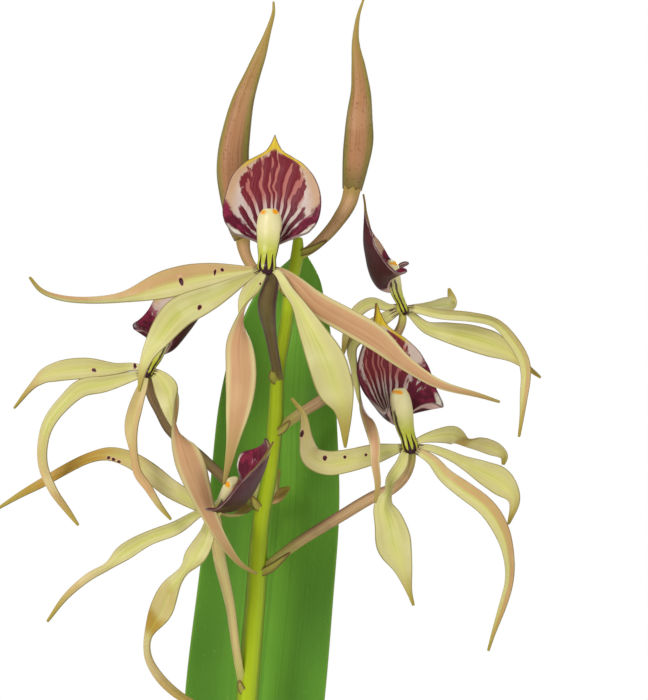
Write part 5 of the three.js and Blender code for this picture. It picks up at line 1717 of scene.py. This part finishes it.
            lobe_from=32.0, peachy=0.15, white_foot=5.4, white_reach=1.0,
        ),
        pedicel=(
            (41, -10.4, 349.2, 2.4), (39.7, -9, 344.8, 2.6), (36.6, -8, 341.6, 2.8), (32.3, -7, 339.6, 2.8),
            (25.1, -5, 335.2, 2.8), (14.8, -2, 328.6, 2.5), (6.4, 0, 322.1, 2.4),
        ),
        stalk=PINK_BROWN_STALK,
        spots=(
            (21.1, 349, 1.3, 0.9, 0), (25.7, 349.2, 0.8, 0.7, 0), (30.5, 349.7, 0.7, 0.6, 0),
            (15.8, 354.4, 1.8, 0.9, 20),
        ),
        tepals=(
            Tepal((
                (-0.8, 0, 0, 1.6), (-3, -1, -0.4, 2.4), (-7.9, -2, -1.5, 4.6), (-13.6, -3, -2.9, 5.3),
                (-18.7, -3, -3.6, 5.7), (-22.4, -2, -2.2, 5), (-23.7, 0, 1.6, 3.2, 10),
                (-24.4, 1, 7.4, 1.6, 20), (-27.2, 2, 11.3, 0.6, 20),
            ), blush=(0.1, 0.25, 0.5)),
            Tepal((
                (-0.3, -0.3, -0.4, 1.6), (-1, -1.4, -1.4, 2), (-1.9, -3, -4, 2.8), (-4, -4, -7.4, 3, 30),
                (-4.6, -5, -10, 3, 60), (-5.7, -5, -13.1, 5, 20), (-4.7, -5, -17, 7), (-3.6, -4, -22.1, 8.2),
                (-1.5, -3, -27.6, 4.6, 10), (-0.1, -2, -32.8, 1.6, 20), (1, -1, -36.5, 0.6, 20),
            ), blush=(0.0, 0.0, 0.25)),
            Tepal((
                (0.8, 0, 0.5, 1.4), (2.5, 0, 1.6, 1.6), (6.5, 2, 2.5, 3.2), (10.4, 6, 2.6, 4.6, 10),
                (13.1, 9, 1.3, 3.6, 60), (16.6, 12, 0.5, 3.6, 20), (20.3, 14, -0.8, 3.6, 10),
                (23, 16, -2.7, 2, 10), (22.9, 18, -4.9, 0.7, 10),
            ), blush=(0.1, 0.3, 0.3), ochre=(0.5, 0.08)),
            Tepal((
                (0.9, 0, 0, 1.4), (4.4, 0.2, -0.2, 1.6), (8.6, 1, -1.6, 2.2), (12.5, 2, -3.5, 3),
                (17.7, 3, -6.1, 5.6), (21.6, 3, -8.4, 6.3), (24.6, 2, -12.3, 3.2, 30),
                (22.9, 1, -18, 0.6, 50),
            ), blush=(0.0, 0.0, 0.2)),
            Tepal((
                (0.7, -0.2, -0.4, 1.4), (2.3, -1, -1.1, 1.8), (5.2, -3, -2.9, 2.4), (8, -5, -6.2, 3.4),
                (12.3, -7, -9.5, 4.1), (17.4, -9, -13.3, 4.2, 10), (20.8, -9, -18.5, 3.9, 20),
                (22.5, -8, -24.5, 2.8, 30), (22.8, -6, -30.1, 2.2, 35), (21.4, -4, -36, 2, 30),
                (19.2, -3, -42.8, 1, 25), (18.1, -2, -46.8, 0.6, 20),
            ), blush=(0.4, 1.0, 1.2), side=-1),
        ),
    ),
)
BUDS = (
    Bud(
        name="bud_left",
        run=(
            (1.9, -3, 399.8, 4), (0.8, -3, 403.2, 5.2), (-0.15, -3, 409.1, 6.5),
            (-0.6, -3, 415.8, 7.7), (-0.4, -3, 420.8, 7.2), (0.55, -3, 426.6, 6.3),
            (1.95, -3, 432.5, 5.1), (4.1, -3, 438.1, 3.7), (5.9, -3, 442.7, 2.8),
            (7.7, -3, 447.9, 1.5), (9.1, -3, 452.8, 0.8), (9.1, -3, 455.2, 0.5),
        ),
        pedicel=(
            (1.85, -3, 400.2, 3.7), (2.4, -3, 396.6, 2.9), (4.4, -2.8, 392.8, 2.5),
            (8.25, -2, 390.1, 2.4), (12.6, 0, 388, 2.4),
        ),
    ),
    Bud(
        name="bud_right",
        run=(
            (27.5, 0, 411.4, 4.5), (28.2, 0, 417, 6.1), (28.9, 0, 422.9, 6.9),
            (29.1, 0, 428.7, 6.1), (29.4, 0, 434.6, 4.7), (28.9, 0, 440.5, 3.3),
            (28.3, 0, 446.4, 1.7), (28.9, 0, 452, 0.9), (30.2, 0, 456.2, 0.5),
        ),
        pedicel=(
            (27.6, 0, 411.9, 4.3), (26.7, 0, 408.4, 3.9), (24.9, 0, 405.2, 3.5), (22.1, 0, 401.5, 3),
            (17.8, 0, 397.5, 2.4), (14.7, 0, 395.8, 2.3),
        ),
    ),
)
TALL_LEAF = Leaf(
    node="leaf_1",
    stations=(
        (-3.5, 4.6, 178.9, 8), (-3.3, 5.5, 190, 10), (-2.6, 8, 208, 17), (-0.8, 11.5, 232, 25),
        (1.8, 14.5, 262, 31), (4.2, 16, 289.4, 33.6), (6.9, 16, 315.9, 32.8), (8.9, 16.5, 337, 31.6),
        (9.7, 17, 358.8, 28.7), (11, 17, 373, 24.8), (12.8, 17.5, 384.5, 18.4),
        (14.6, 18, 391.5, 11.2), (15.6, 18, 397.6, 1.6),
    ),
    facing=FRONT,
    cup=0.06,
)
BULBS = (
    Bulb((-3.5, 4.0), (-3.5, 0.5, 178.0), 28.0),
    Bulb((16.0, 11.0), (25.0, 14.0, 163.0), 26.0, age=0.3),
    Bulb((-22.0, 11.0), (-31.0, 15.0, 158.0), 26.0, age=0.4),
    Bulb((33.0, 20.0), (46.0, 30.0, 148.0), 23.0, age=0.8),
    Bulb((-35.0, 20.0), (-46.0, 31.0, 144.0), 22.0, age=1.0),
)
# For each arched leaf: the bulb that it grows from, its heading, its slopes, its length and its width
ARCHED = (
    (0, -95, (80, -28), 165, 30),
    (1, -42, (78, -22), 170, 29),
    (1, 105, (80, -10), 150, 27),
    (2, 121, (80, -18), 155, 27),
    (2, -128, (78, -26), 165, 28),
    (3, -22, (76, -30), 145, 26),
    (3, 84, (78, -16), 135, 24),
    (4, 168, (76, -28), 140, 25),
)


def main() -> None:
    """Builds the studio, then the pot, the plant and the flowers over their CAD nodes."""
    logging.basicConfig(level=logging.INFO, format="%(name)s %(message)s")
    studio = Studio()
    studio.place_camera()
    studio.build()
    pot = Pot()
    pot.build(Terracotta(name="unglazed terracotta", roughness=0.86, ior=1.5, relief_mm=0.3).build())
    BarkBed(pot).build(PineBark(name="coarse pine bark", roughness=0.92, relief_mm=0.8).build())
    Rhizome().build(VELAMEN.build())
    papery, bulb_skin = PAPERY.build(), BULB_SKIN.build()
    for i, bulb in enumerate(BULBS):
        bulb.build(f"pseudobulb_{i + 1}", bulb_skin, papery)
    face, back = LEAF_FACE.build(), LEAF_BACK.build()
    TALL_LEAF.build(face, back)
    for i, (bulb, heading, rise, length, width) in enumerate(ARCHED):
        Leaf.arched(f"leaf_{i + 2}", BULBS[bulb].top, heading, rise, length, width).build(face, back)
    Stem().build(SCAPE_GREEN.build(), BRACT.build(), papery)
    bud, bud_stalk = BUD_SKIN.build(), BUD_STALK.build()
    for row in BUDS:
        row.build(bud, bud_stalk)
    outside, lip_front, lip_back = OUTSIDE.build(), LIP_FRONT.build(), LIP_BACK.build()
    wax = ColumnWax(name="waxy column", roughness=0.3, ior=1.45, subsurface=0.15).build()
    for bloom in BLOOMS:
        bloom.build(outside, lip_front, lip_back, wax)


if __name__ == "__main__":
    main()
